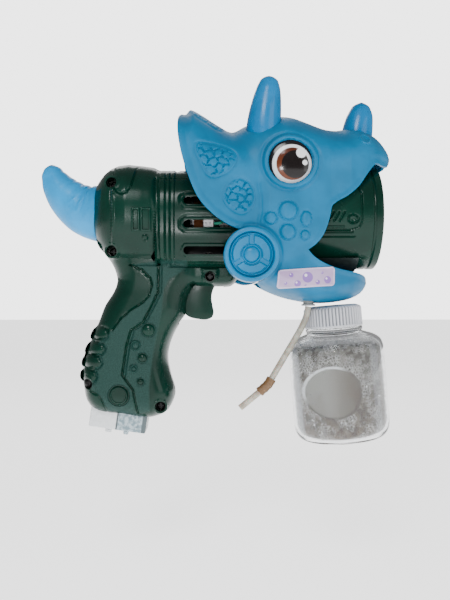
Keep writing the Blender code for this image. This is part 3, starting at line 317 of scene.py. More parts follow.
def soapLiquid():
    # Soapy water full of small bubbles, with one big air bubble pressed against the near wall
    made = Finish("soapLiquid", (0.30, 0.28, 0.25), 0.16)
    alongX, alongY, alongZ = made.axes()
    cells = made.node('ShaderNodeTexVoronoi', {"feature": 'DISTANCE_TO_EDGE'},
                      {"Vector": made.spot, "Scale": 640.0}, "Distance")
    foam = made.patches(120, 4, 0.40, 0.58)
    walls = (1 - made.between(cells, 0.02, 0.20)) * foam
    low = made.between(alongZ, -60 * mm, 5 * mm)
    base = made.mix(low, (0.145, 0.110, 0.082, 1), (0.225, 0.215, 0.195, 1))
    base = made.mix(made.patches(300, 3, 0.42, 0.60) * 0.7, base, (0.055, 0.048, 0.040, 1))
    base = made.mix(walls * 0.8, base, (0.62, 0.62, 0.60, 1))
    # painted highlights: small white glints mixed into the liquid's colour
    paintedGlints = made.patches(380, 2, 0.63, 0.69) * made.patches(60, 2, 0.45, 0.6)
    base = made.mix(paintedGlints, base, (0.95, 0.96, 0.98, 1))
    for left, right, strength in ((100.5, 104.5, 0.6), (149.5, 152.5, 0.25)):
        upright = alongX + alongZ * 0.084            # painted highlight: bright streaks of reflected light down the leaning sides
        highlightStreak = (made.between(upright, (left - 2) * mm, left * mm)
                  - made.between(upright, right * mm, (right + 2) * mm))
        base = made.mix(highlightStreak * strength, base, (0.62, 0.65, 0.71, 1))
    fromX = (alongX - 125.6 * mm) * (1 / (16.8 * mm))
    fromZ = (alongZ + 27.5 * mm) * (1 / (15.8 * mm))
    away = (fromX * fromX + fromZ * fromZ) ** 0.5
    near = 1 - made.between(alongY, -8 * mm, -4 * mm)
    within = (1 - made.between(away, 0.95, 1.0)) * near
    # painted shade: the air bubble's inside is lighter at the left and darker at the right
    bubbleInsideShaded = made.mix(made.between(fromX, -0.5, 0.9), (0.30, 0.30, 0.272, 1), (0.120, 0.095, 0.075, 1))
    bubbleInsideShaded = made.mix(made.patches(90, 3, 0.45, 0.65) * 0.5, bubbleInsideShaded, (0.18, 0.17, 0.15, 1))
    base = made.mix(within, base, bubbleInsideShaded)
    rim = (made.between(away, 0.90, 0.96) - made.between(away, 1.0, 1.05)) * near
    # painted highlight on the bubble's upper-left rim and painted shade on its lower-right rim
    corner = made.between(fromZ - fromX, 0.1, 0.9)
    base = made.mix(rim * corner, base, (0.90, 0.92, 0.93, 1))
    base = made.mix(rim * (1 - corner) * 0.7, base, (0.075, 0.06, 0.05, 1))
    made.feed("Base Color", base)
    made.feed("Alpha", walls * 0.05 + within * 0.04 + 0.92)
    made.bump((walls + made.noise(500, 4) * 0.8) * (1 - within * 0.9), 0.6, 0.0009)
    return made


def frothFilm():
    # Thin bubble skins: clear in the middle and pale at the rim
    made = Finish("frothFilm", (0.90, 0.92, 0.94), 0.05, Specular_IOR_Level=0.8)
    swirl = made.patches(300, 3, 0.35, 0.7)
    made.feed("Base Color", made.mix(swirl, (0.74, 0.74, 0.73, 1), (0.92, 0.94, 0.96, 1)))
    rim = made.node('ShaderNodeLayerWeight', {}, {"Blend": 0.5}, "Facing")
    made.feed("Alpha", made.between(rim, 0.15, 0.85) * 0.75 + 0.12)
    return made


def brushedMetal(name, colour, roughness):
    made = Finish(name, colour, roughness, Metallic=1.0)
    lines = made.noise(900, 3)
    made.feed("Base Color", made.mix(lines, tinted(made.colour, 0.8), tinted(made.colour, 1.1)))
    made.feed("Roughness", made.between(lines, 0.3, 0.7) * 0.18 + (roughness - 0.05))
    made.bump(lines, 0.2, 0.00008)
    return made


def woundCopper():
    made = Finish("woundCopper", (0.42, 0.15, 0.07), 0.35, Metallic=0.8)
    alongX = made.axes()[0]
    turns = made.node('ShaderNodeMath', {"operation": 'PINGPONG'}, {0: alongX, 1: 0.0003})
    made.feed("Base Color", made.mix(turns * 3000, (0.20, 0.055, 0.02, 1), (0.62, 0.24, 0.11, 1)))
    made.bump(turns * 3000, 0.8, 0.0002)
    return made


def circuitGreen():
    made = Finish("circuitGreen", (0.015, 0.15, 0.05), 0.35, Coat_Weight=0.3)
    bricks = made.node('ShaderNodeTexVoronoi', {"distance": 'MANHATTAN'},
                       {"Vector": made.spot, "Scale": 260.0}, "Distance")
    copper = made.between(bricks, 0.50, 0.56)
    made.feed("Base Color", made.mix(copper, (0.012, 0.13, 0.045, 1), (0.035, 0.26, 0.09, 1)))
    made.bump(copper, 0.3, 0.0001)
    return made


def clearTube():
    # Soft tube, milky and a little yellowed, in paler and darker patches
    made = Finish("clearTube", (0.36, 0.35, 0.29), 0.28, Subsurface_Weight=0.15)
    base = made.mix(made.patches(240, 4, 0.35, 0.65), (0.29, 0.28, 0.23, 1), (0.44, 0.43, 0.37, 1))
    made.feed("Base Color", base)
    made.bump(made.noise(900, 3), 0.2, 0.0001)
    return made


def cellSleeve():
    # A printed battery sleeve: black body and a copper-coloured top band
    made = Finish("cellSleeve", (0.02, 0.02, 0.022), 0.25, Metallic=0.3, Coat_Weight=0.4)
    alongX, _, alongZ = made.axes()
    top = made.between(alongZ + alongX * 0.14, -12 * mm, -11.6 * mm)
    made.feed("Base Color", made.mix(top, (0.018, 0.018, 0.020, 1), (0.42, 0.17, 0.05, 1)))
    made.bump(made.noise(700, 3), 0.1, 0.00008)
    return made


eye = {"at": (0.0982, 0.110), "radius": 12.9 * mm, "rimInner": 13.0 * mm}
green = housingGreen()
blue = plastic("headBlue", (0.0001, 0.136, 0.285), 0.48, 0.10, 0.30, 2200, 1.2, Specular_IOR_Level=0.22)
hornBlue = plastic("hornBlue", (0.0001, 0.150, 0.360), 0.26, 0.10, 0.12, 1500, 1.25, Specular_IOR_Level=0.32)
tailBlue = plastic("tailBlue", (0.0001, 0.270, 0.600), 0.34, 0.08, 0.15, 1500, 1.15, Specular_IOR_Level=0.25)
white = plastic("whitePlastic", (0.74, 0.75, 0.76), 0.42, 0.05, 0.2, 2000, 1.05)
capWhite = plastic("capWhite", (0.60, 0.61, 0.65), 0.40, 0.05, 0.2, 2000, 1.1)
# painted shade: the hollows between the cap's ribs are painted dark
ribHollowShade = capWhite.attribute("rib") * 0.8
capWhite.feed("Base Color", capWhite.mix(ribHollowShade, capWhite.base, (0.13, 0.14, 0.17, 1)))
grey = plastic("greyPlastic", (0.20, 0.21, 0.205), 0.38, 0.10, 0.3, 1800, 1.3)
silver = plastic("traySilver", (0.70, 0.73, 0.75), 0.26, 0.06, 0.2, 1300, 1.15, Specular_IOR_Level=0.5)
trayX, _, trayZ = silver.axes()
across = trayX - trayZ * 0.144                       # square to the leaning tray
scuffed = silver.between(across, -0.1 * mm, 0.3 * mm)
speckled = silver.mix(silver.patches(420, 5, 0.40, 0.60), (0.16, 0.24, 0.28, 1), (0.42, 0.52, 0.57, 1))
trayTint = silver.mix(scuffed, silver.base, speckled)
seam = silver.between(across, -1.1 * mm, -0.7 * mm) - scuffed
# painted shade: dark bands at the tray's rounded sides, together with the dark mould seam
seamAndSideShade = silver.between(across, 15.1 * mm, 15.7 * mm)
seamAndSideShade = seamAndSideShade + (1 - silver.between(across, -18.9 * mm, -18.3 * mm)) + seam
silver.feed("Base Color", silver.mix(seamAndSideShade, trayTint, (0.07, 0.10, 0.11, 1)))
black = plastic("blackSteel", (0.012, 0.012, 0.013), 0.38, 0.2, 0.3, 1500, 2.5, Metallic=0.5)
joinerBrown = plastic("joinerBrown", (0.16, 0.085, 0.035), 0.42, 0.15, 0.3, 1500, 1.4)
wireGreen = plastic("wireGreen", (0.04, 0.42, 0.27), 0.40, 0.1, 0.15, 1500, 1.1)
steel = brushedMetal("steel", (0.55, 0.55, 0.56), 0.30)
copper = woundCopper()
tubing = clearTube()
liquid = soapLiquid()
film = frothFilm()
wall = clearWall()
label = lilacLabel()
finishOf = {"housing_green": green, "head_blue": blue, "horn_blue": hornBlue, "white_plastic": white,
            "grey_plastic": grey, "tray_silver": silver, "black_steel": black, "joiner_brown": joinerBrown,
            "wire_green": wireGreen, "steel": steel, "copper": copper, "tube_silicone": tubing,
            "froth": liquid, "clear_plastic": wall, "label_lilac": label, "board_green": circuitGreen(),
            "cell_sleeve": cellSleeve()}
slotOf = {part["node"]: part["material_slot"] for part in frame["record"]["subparts"]}
for nodeName, slotName in slotOf.items():
    if slotName in finishOf:
        mesh = bpy.data.objects[nodeName].data
        mesh.materials.clear()
        mesh.materials.append(finishOf[slotName].material)
dark = plastic("darkPlastic", (0.012, 0.018, 0.017), 0.40, 0.15, 0.3, 1800, 1.6)
bpy.data.objects["tube_grommet"].data.materials[0] = grey.material
print("materials made")


# ---- shared shaping

def points(*pairs):
    return [(a * mm, b * mm) for a, b in pairs]


def smooth(run, step):                               # points along a Catmull-Rom curve
    p = [np.array(q, float) for q in run]
    p = [2 * p[0] - p[1]] + p + [2 * p[-1] - p[-2]]
    out = []
    for i in range(1, len(p) - 2):
        count = max(1, round(np.linalg.norm(p[i + 1] - p[i]) / step))
        for k in range(count):
            t = k / count
            out.append(0.5 * (2 * p[i] + (p[i + 1] - p[i - 1]) * t
                              + (2 * p[i - 1] - 5 * p[i] + 4 * p[i + 1] - p[i + 2]) * t * t
                              + (3 * p[i] - p[i - 1] - 3 * p[i + 1] + p[i + 2]) * t ** 3))
    out.append(p[-2])
    return np.array(out)


def inset(run, distance):                            # to the right of a run, so into a clockwise shape
    tangent = np.gradient(run, axis=0)
    tangent /= np.linalg.norm(tangent, axis=1)[:, None]
    return run + distance * np.column_stack([tangent[:, 1], -tangent[:, 0]])


def distanceTo(run, x, z):
    best = np.full(np.shape(x), 1.0)
    run = np.asarray(run, float)
    for a, b in zip(run[:-1], run[1:]):
        d = b - a
        t = np.clip(((x - a[0]) * d[0] + (z - a[1]) * d[1]) / (d @ d), 0, 1)
        best = np.minimum(best, np.hypot(x - a[0] - t * d[0], z - a[1] - t * d[1]))
    return best


def inside(ring, x, z):
    result = np.zeros(np.shape(x), bool)
    for (x0, z0), (x1, z1) in zip(ring, np.roll(ring, -1, axis=0)):
        if z0 != z1:
            result ^= ((z0 > z) != (z1 > z)) & (x < (x1 - x0) * (z - z0) / (z1 - z0) + x0)
    return result


def rounding(depth, radius, power=2.0):              # 0 at an edge, 1 from radius inwards
    t = np.clip(depth / radius, 0, 1)
    return (1 - (1 - t) ** power) ** (1 / power)


def fade(value, low, high):
    t = np.clip((value - low) / (high - low), 0, 1)
    return t * t * (3 - 2 * t)


def circle(at, radius):                              # a round line in side view, in millimetres
    count = max(10, round(2 * math.pi * radius / 1.2))
    turns = np.linspace(0, 2 * math.pi, count + 1)
    return [((at[0] + radius * math.cos(a)) * mm, (at[1] + radius * math.sin(a)) * mm) for a in turns]


def groove(x, z, run, width, depth):                 # a cut along a run, positive depth cuts in
    return -depth * mm * (1 - fade(distanceTo(run, x, z), 0.2 * width * mm, 0.75 * width * mm))


def button(x, z, at, radius, height, flat=0.5):      # a round bump with a fine ditch round it
    away = np.hypot(x - at[0] * mm, z - at[1] * mm) / (radius * mm)
    bump = height * mm * (1 - np.clip(away, 0, 1) ** 2) ** flat
    return bump - 0.45 * mm * (1 - fade(np.abs(away * radius - radius - 0.5), 0.1, 0.7))


def hoop(x, z, at, radius, width, height):           # a raised round line
    away = np.hypot(x - at[0] * mm, z - at[1] * mm)
    return height * mm * (1 - fade(np.abs(away - radius * mm), 0.2 * width * mm, 0.7 * width * mm))


def boxAway(x, z, low, high):                        # signed distance to a rectangle, in metres
    dx = np.maximum(low[0] * mm - x, x - high[0] * mm)
    dz = np.maximum(low[1] * mm - z, z - high[1] * mm)
    return np.where((dx > 0) & (dz > 0), np.hypot(np.maximum(dx, 0), np.maximum(dz, 0)), np.maximum(dx, dz))


def scales(x, z, ring, spacing, seed):               # raised reptile scales within an outline
    closed = np.vstack([ring, ring[:1]])
    edge = distanceTo(closed, x, z)
    within = inside(np.asarray(ring), x, z)
    low, high = np.min(ring, axis=0), np.max(ring, axis=0)
    dice = np.random.default_rng(seed)
    seeds = []
    for row, cz in enumerate(np.arange(low[1], high[1] + spacing, spacing * 0.87)):
        for cx in np.arange(low[0], high[0] + spacing, spacing):
            seeds.append((cx + (row % 2) * spacing / 2 + dice.uniform(-0.24, 0.24) * spacing,
                          cz + dice.uniform(-0.28, 0.28) * spacing))
    away = np.array([np.hypot(x - cx, z - cz) for cx, cz in seeds])
    away.sort(axis=0)
    between = away[1] - away[0]
    field = 1.15 * mm * fade(between, 0.15 * mm, 0.95 * mm) - 0.75 * mm
    line = -0.6 * mm * (1 - fade(np.abs(edge - 0.3 * mm), 0.2 * mm, 0.8 * mm))
    return np.where(within, np.where(edge > 1.0 * mm, field, 0), 0) + line


def meshPiece(name, mesh, finish):
    piece = bpy.data.objects.new(name, mesh)
    bpy.context.scene.collection.objects.link(piece)
    mesh.materials.clear()
    mesh.materials.append(finish.material)
    return piece


def faceOut(piece):
    shape = bmesh.new()
    shape.from_mesh(piece.data)
    bmesh.ops.remove_doubles(shape, verts=shape.verts, dist=1e-6)
    bmesh.ops.recalc_face_normals(shape, faces=shape.faces)
    if shape.calc_volume(signed=True) < 0:
        bmesh.ops.reverse_faces(shape, faces=shape.faces)
    shape.to_mesh(piece.data)
    shape.free()
    return piece


def shadeRound(piece, angle=38):
    onlyActive(piece)
    bpy.ops.object.shade_smooth_by_angle(angle=math.radians(angle))
    return piece


def applyAll(piece):
    onlyActive(piece)
    for modifier in list(piece.modifiers):
        bpy.ops.object.modifier_apply(modifier=modifier.name)
    return piece


def cut(piece, tool, operation='DIFFERENCE'):
    modifier = piece.modifiers.new("cut", 'BOOLEAN')
    modifier.object = tool
    modifier.operation = operation
    modifier.solver = 'EXACT'
    applyAll(piece)
    bpy.data.objects.remove(tool, do_unlink=True)
    return piece


def curveAlong(name, line, radius, resolution, finish):
    curve = bpy.data.curves.new(name, 'CURVE')
    curve.dimensions = '3D'
    curve.bevel_depth = radius
    curve.bevel_resolution = resolution
    curve.use_fill_caps = True
    spline = curve.splines.new('POLY')
    spline.points.add(len(line) - 1)
    for spot, place in zip(spline.points, line):
        spot.co = (*place, 1)
    curve.materials.append(finish.material)
    piece = bpy.data.objects.new(name, curve)
    bpy.context.scene.collection.objects.link(piece)
    return piece


def curveToMesh(piece):
    onlyActive(piece)
    bpy.ops.object.convert(target='MESH')
    return bpy.context.active_object


def applyPlace(piece):
    onlyActive(piece)
    bpy.ops.object.transform_apply(location=True, rotation=True, scale=True)
    return piece


def bar(radius, start, end, at, axis, sides=32):     # a cylinder as a cutting tool or a post
    deselectAll()
    turned = {"X": (0, math.pi / 2, 0), "Y": (math.pi / 2, 0, 0), "Z": (0, 0, 0)}[axis]
    centre = list(at)
    centre["XYZ".index(axis)] = (start + end) / 2
    bpy.ops.mesh.primitive_cylinder_add(vertices=sides, radius=radius, depth=abs(end - start),
                                        location=centre, rotation=turned)
    return applyPlace(bpy.context.active_object)


def block(low, high, bevel=0.0):
    deselectAll()
    bpy.ops.mesh.primitive_cube_add(size=1, location=[(a + b) / 2 for a, b in zip(low, high)])
    made = bpy.context.active_object
    made.scale = [b - a for a, b in zip(low, high)]
    applyPlace(made)
    if bevel:
        modifier = made.modifiers.new("round", 'BEVEL')
        modifier.width = bevel
        modifier.segments = 3
        applyAll(made)
    return made


def spun(name, profile, finish, steps, place):
    # A closed profile of radius and height spun about local Z, then put in its place
    mesh = bpy.data.meshes.new(name)
    count = len(profile)
    edges = [(i, (i + 1) % count) for i in range(count)]
    edges = [(i, j) for i, j in edges if profile[i][0] > 0 or profile[j][0] > 0]
    mesh.from_pydata([(r, 0, h) for r, h in profile], edges, [])
    piece = meshPiece(name, mesh, finish)
    onlyActive(piece)
    bpy.ops.object.mode_set(mode='EDIT')
    bpy.ops.mesh.select_all(action='SELECT')
    bpy.ops.mesh.spin(steps=steps, angle=2 * math.pi, center=(0, 0, 0), axis=(0, 0, 1))
    bpy.ops.mesh.select_all(action='SELECT')
    bpy.ops.mesh.remove_doubles(threshold=1e-6)
    bpy.ops.mesh.normals_make_consistent(inside=False)
    bpy.ops.object.mode_set(mode='OBJECT')
    piece.data.transform(place)
    return faceOut(piece)


def fillet(profile, radius):                         # rounds the corners of a closed profile
    steps = 4
    out = []
    count = len(profile)
    for i, corner in enumerate(profile):
        here = Vector(corner)
        before = Vector(profile[i - 1]) - here
        after = Vector(profile[(i + 1) % count]) - here
        if corner[0] == 0 or before.length < 1e-6 or after.length < 1e-6:
            out.append(tuple(here))
            continue
        reach = min(radius, before.length * 0.45, after.length * 0.45)
        start, end = here + before.normalized() * reach, here + after.normalized() * reach
        for k in range(steps + 1):
            t = k / steps
            out.append(tuple((1 - t) ** 2 * start + 2 * t * (1 - t) * here + t * t * end))
    return out


def lengthen(piece, low, high, extra):               # stretches the front end forward
    for vertex in piece.data.vertices:
        vertex.co.x += extra * float(fade(np.array(vertex.co.x), low, high))


standX = Matrix.Rotation(math.radians(90), 4, 'Y')   # local Z to world X
standY = Matrix.Rotation(math.radians(-90), 4, 'X')  # local Z to world Y


def moulded(name, runs, height, back, finish, grid, seam=0.00015, rows=(0.12, 0.45, 1.0, 1.8, 2.8), lines=()):
    # Right half of a moulded shell: an outline in side view raised by a height function
    ring = np.vstack([run[:-1] for run in runs])
    count = len(ring)
    closed = np.vstack([ring, ring[:1]])
    low, high = ring.min(axis=0), ring.max(axis=0)
    across, up = np.meshgrid(np.arange(low[0], high[0], grid), np.arange(low[1], high[1], grid * 0.87))
    across = across + (np.arange(len(across)) % 2)[:, None] * grid / 2
    field = np.column_stack([across.ravel(), up.ravel()])
    field = field[inside(ring, field[:, 0], field[:, 1])]
    reach = rows[-1] * mm if rows else 0
    field = field[distanceTo(closed, field[:, 0], field[:, 1]) > reach + 0.45 * grid]
    followed = []
    for line in lines:                               # rows of points that keep a groove's edges crisp
        line = smooth(line, 0.8 * mm)
        field = field[distanceTo(line, field[:, 0], field[:, 1]) > 1.15 * mm]
        for offset in (-0.8, -0.4, 0, 0.4, 0.8):
            followed.append(inset(line, offset * mm))
    if followed:
        followed = np.vstack(followed)
        followed = followed[inside(ring, followed[:, 0], followed[:, 1])]
        followed = followed[distanceTo(closed, followed[:, 0], followed[:, 1]) > reach + 0.2 * mm]
    extra = [field] + ([followed] if len(followed) else [])
    for depth in rows:
        for run in runs:
            moved = inset(run, depth * mm)[1:-1]
            keep = inside(ring, moved[:, 0], moved[:, 1])
            keep &= distanceTo(closed, moved[:, 0], moved[:, 1]) > 0.93 * depth * mm
            extra.append(moved[keep])
    flat = [Vector(p) for p in np.vstack([ring] + extra)]
    border = [(i, (i + 1) % count) for i in range(count)]
    front = delaunay_2d_cdt(flat, border, [list(range(count))], 1, 1e-7)
    rear = delaunay_2d_cdt(flat[:count], [], [list(range(count))], 1, 1e-7)
    place = np.array([tuple(p) for p in front[0]])
    raised = height(place[:, 0], place[:, 1])
    verts = [(p[0], back, p[1]) for p in ring]
    onRing = {}
    top = {}
    for index, origins in enumerate(front[3]):
        own = [k for k in origins if k < count]
        if own and not (raised[index] > 0.3 * mm or back > 0):
            top[index] = own[0]
        else:
            top[index] = len(verts)
            verts.append((place[index][0], -seam - raised[index], place[index][1]))
        if own:
            onRing[own[0]] = top[index]
    faces = [[top[k] for k in face][::-1] for face in front[2]]
    behind = {}
    for index, origins in enumerate(rear[3]):
        behind[index] = origins[0] if origins else len(verts)
        if not origins:                              # where an offset outline crosses itself
            verts.append((rear[0][index][0], back, rear[0][index][1]))
    faces += [[behind[corner] for corner in face] for face in rear[2]]
    for i, j in border:
        loop = []
        for vert in (onRing[i], onRing[j], j, i):
            if vert not in loop:
                loop.append(vert)
        if len(loop) > 2:
            faces.append(loop)
    mesh = bpy.data.meshes.new(name)
    mesh.from_pydata(verts, [], [face for face in faces if len(set(face)) > 2])
    return faceOut(meshPiece(name, mesh, finish))


def hollowed(name, runs, openRuns, height, wallThick, finish, grid, coarse, lines):
    closed = np.vstack([run[:-1] for run in coarse])
    closed = np.vstack([closed, closed[:1]])
    inner = []
    for i, run in enumerate(coarse):
        distance = -6 * mm if i in openRuns else wallThick
        moved = inset(run, distance)
        inner.append(moved[distanceTo(closed, moved[:, 0], moved[:, 1]) > 0.95 * abs(distance)])
    inner = [np.vstack([run, after[:1]]) if np.linalg.norm(run[-1] - after[0]) > 0.1 * mm else run
             for run, after in zip(inner, inner[1:] + inner[:1])]
    def outside(x, z):
        return height(x, z, 0)

    def innerSkin(x, z):
        return height(x, z, wallThick)

    shell = moulded(name, runs, outside, -0.00004, finish, grid, lines=lines)
    core = moulded(name + "Core", inner, innerSkin, 1 * mm, finish, 6 * mm, -0.0003, (1.8, 5.0))
    return cut(shell, core)


def mirroredCopy(piece, name):
    mesh = piece.data.copy()
    mesh.transform(Matrix.Diagonal((1, -1, 1, 1)))
    mesh.flip_normals()
    other = bpy.data.objects.new(name, mesh)
    bpy.context.scene.collection.objects.link(other)
    return other


def paint(piece, attribute, values):                 # a number at each vertex for a material to read
    layer = piece.data.attributes.new(attribute, 'FLOAT', 'POINT')
    layer.data.foreach_set("value", np.asarray(values, np.float32))


def vertexPlaces(piece):
    places = np.zeros(len(piece.data.vertices) * 3)
    piece.data.vertices.foreach_get("co", places)
    return places.reshape(-1, 3)


def stands(piece, body, slotName, *nodes):           # the last lines of every new piece
    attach(piece, body)
    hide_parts(*nodes)
    return piece


# ---- free tube first

tubeRoute = points((112.3, 24.8), (111.6, 20.8), (110.2, 16.4), (107.8, 11.2), (104.4, 5.2), (100.6, -1.2),
                   (96.8, -7.6), (93, -14), (89.4, -20.2), (87.4, -23.4), (84.8, -26), (81.4, -28.85),
                   (76.8, -32.6), (73.2, -35.6), (69.7, -38.4))
joinerRoute = points((89.4, -20.2), (87.4, -23.4), (84.8, -26), (81.6, -28.7))
tubeSide = -12 * mm


def tubeCurve(name, route, radius, finish):
    return curveAlong(name, [(x, tubeSide, z) for x, z in route], radius, 6, finish)


tubeLine = smooth(tubeRoute, 2 * mm)
tubeLength = float(np.sum(np.linalg.norm(np.diff(tubeLine, axis=0), axis=1)))
suctionTube = stands(tubeCurve("suctionTube", tubeLine, 2 * mm, tubing), "housing", "tube_silicone",
                     "suction_tube", "tube_tip")
sleeve = curveToMesh(tubeCurve("tubeJoiner", smooth(joinerRoute, 1 * mm), 2.9 * mm, joinerBrown))
joinerRibs, ribHeight = 4, 0.10                      # rib height as a part of the radius
axisRun = smooth(joinerRoute, 0.5 * mm)
steps = np.array([np.argmin(np.hypot(axisRun[:, 0] - x, axisRun[:, 1] - z))
                  for x, y, z in vertexPlaces(sleeve)]) / len(axisRun)
grow = 1 + ribHeight * np.abs(np.sin(np.pi * joinerRibs * steps)) ** 3
centres = axisRun[(steps * len(axisRun)).astype(int).clip(0, len(axisRun) - 1)]
for vertex, factor, centre in zip(sleeve.data.vertices, grow, centres):
    hub = Vector((centre[0], tubeSide, centre[1]))
    vertex.co = hub + (vertex.co - hub) * factor
stands(shadeRound(faceOut(sleeve), 50), "housing", "joiner_brown", "tube_joiner")
print("tube made, length", round(tubeLength, 4))


# ---- housing

housing = {"wall": 2 * mm, "grid": 1.0 * mm, "gripHalf": 18.5 * mm, "bridgeHalf": 15 * mm,
           "screws": points((-8.6, 99.8), (-8.9, 58.6), (50.9, 43.4), (20.3, -37.0), (-24.6, -23.0)),
           "slots": (88.6, 74.6, 58.7), "post": points((50.9, 43.4))[0]}
domeTop = points((-20.5, 101.1), (-17.3, 105.6), (-14.7, 108.8), (-10.9, 111.7), (-6.4, 113.6), (0, 114.4),
                 (9, 113.5), (15, 112.7), (19.5, 111.3), (24, 110.5), (30, 110.5))
bridge = points((69, 49.5), (68.4, 42.5), (65.6, 38.6), (61, 37.1), (50, 37.1), (41.2, 37.1))
recess = points((41.2, 37.1), (38, 32), (36.4, 26), (36.3, 20.2))
grip = points((36.3, 20.2), (29.4, 10.2), (25.4, 0.5), (24.3, -8.3), (26, -18), (28.8, -28), (27.4, -35.5),
              (23, -41.8), (15, -45.2), (6, -45.4), (-4, -43.6), (-14.7, -42.6), (-22.4, -39.8),
              (-26.9, -34.2), (-28.6, -26), (-29.2, -17), (-27.4, -6), (-23.6, 5), (-19.4, 15), (-15.4, 25.4),
              (-10, 34), (-7.7, 41), (-9.6, 48.6), (-13.6, 55.6), (-17.3, 61), (-20.5, 66.9))
straights = [points((30, 110.5), (104, 110.5)), points((104, 110.5), (104, 49.5)),
             points((104, 49.5), (69, 49.5))]
rearEdge = points((-20.5, 66.9), (-20.5, 101.1))
doubleLine = points((19.5, 52.8), (19.2, 33.7), (9.8, 14.9), (2.6, 10.5), (-0.2, 1.0), (-2.9, -17.1),
                    (3.7, -26.2), (6.6, -41))
sweepLine = points((2.0, 50.2), (9.3, 47.7), (14.5, 42.5), (15.6, 38.2), (13.7, 31.3), (9.3, 26.9),
                   (2.4, 22.6), (-3.6, 17.4), (-8.5, 10.6))
innerLine = [(a + 2.0 * mm, b) for a, b in doubleLine[:6]]
tongue = points((-8.5, 112), (-6.8, 96.8), (-4.9, 93.6), (-2, 92.4), (1.2, 93.4), (3.6, 97), (6.5, 112))
lobe = points((-22.5, -27.5), (-17.5, -29.0), (-15, -33), (-13.5, -38), (-12.3, -44))
domeSeam = points((18.4, 102), (18.9, 83), (19.3, 65.3), (19.9, 50.5))
barrelLine = points((20, 102.6), (70, 102.6))
recessLine = points((37.1, 34.4), (34.6, 28.8), (33.0, 22), (31.5, 14))
windows = (((4.6, 70.6), (8.4, 83.5)), ((10.0, 70.6), (15.1, 83.5)))         # two framed marks
knuckles = [(-15.0, 8.3), (-17.0, -1.2), (-19.0, -9.3), (-21.7, -18.0)]      # front ends of the rear ridges


def housingRuns(step):
    made = [smooth(domeTop, step)] + [smooth(run, 1.6 * step) for run in straights]
    made += [smooth(bridge, step), smooth(recess, step), smooth(grip, step), smooth(rearEdge, step)]
    return made


def knuckled(run):                                   # the ridges stand out of the rear edge
    for ends in knuckles:
        away = np.abs(run[:, 1] - (ends[1] - 0.2) * mm)
        push = 1.0 * mm * np.sqrt(np.clip(1 - (away / (4.1 * mm)) ** 2, 0, 1)) * (run[:, 0] < -14 * mm)
        run[:, 0] -= push
    return run


plainRuns = housingRuns(3 * mm)
lowerEdge = np.vstack([plainRuns[4], plainRuns[5][1:], plainRuns[6][1:-3]])


def housingHeight(x, z, wallThick):
    up = np.interp(x, [a for a, b in domeTop], [b - domeZ for a, b in domeTop]) - wallThick
    down = np.interp(x, [-0.0205, -0.0173, -0.0128, -0.009, 0.0], [0.017, 0.0232, 0.0296, 0.0325, 0.0335])
    down = down - wallThick
    dz = z - domeZ
    ratio = np.clip(np.where(dz > 0, dz / up, -dz / down), 0, 1)
    power = np.where(dz > 0, 2.1, 2.6)
    dome = np.where(x < 0.0176, up * (1 - ratio ** power) ** (1 / power), 0)
    dz = z - barrelZ
    ratio = np.clip(np.where(dz > 0, dz / (0.0295 - wallThick), -dz / (0.0315 - wallThick)), 0, 1)
    power = np.where(dz > 0, 2.3, 4.0)
    barrel = np.where(x >= 0.0176, (0.029 - wallThick) * (1 - ratio ** power) ** (1 / power), 0)
    forward = fade(x, 0.030, 0.042)
    half = housing["gripHalf"] + (housing["bridgeHalf"] - housing["gripHalf"]) * forward - wallThick
    radius = 0.013 - 0.007 * forward - wallThick
    slab = half * rounding(distanceTo(lowerEdge, x, z) - wallThick, radius, 2.2)
    slab = slab * (1 - fade(z, 0.060, 0.072)) * (x < 0.069 - wallThick)
    return np.maximum(np.maximum(dome, barrel), slab)


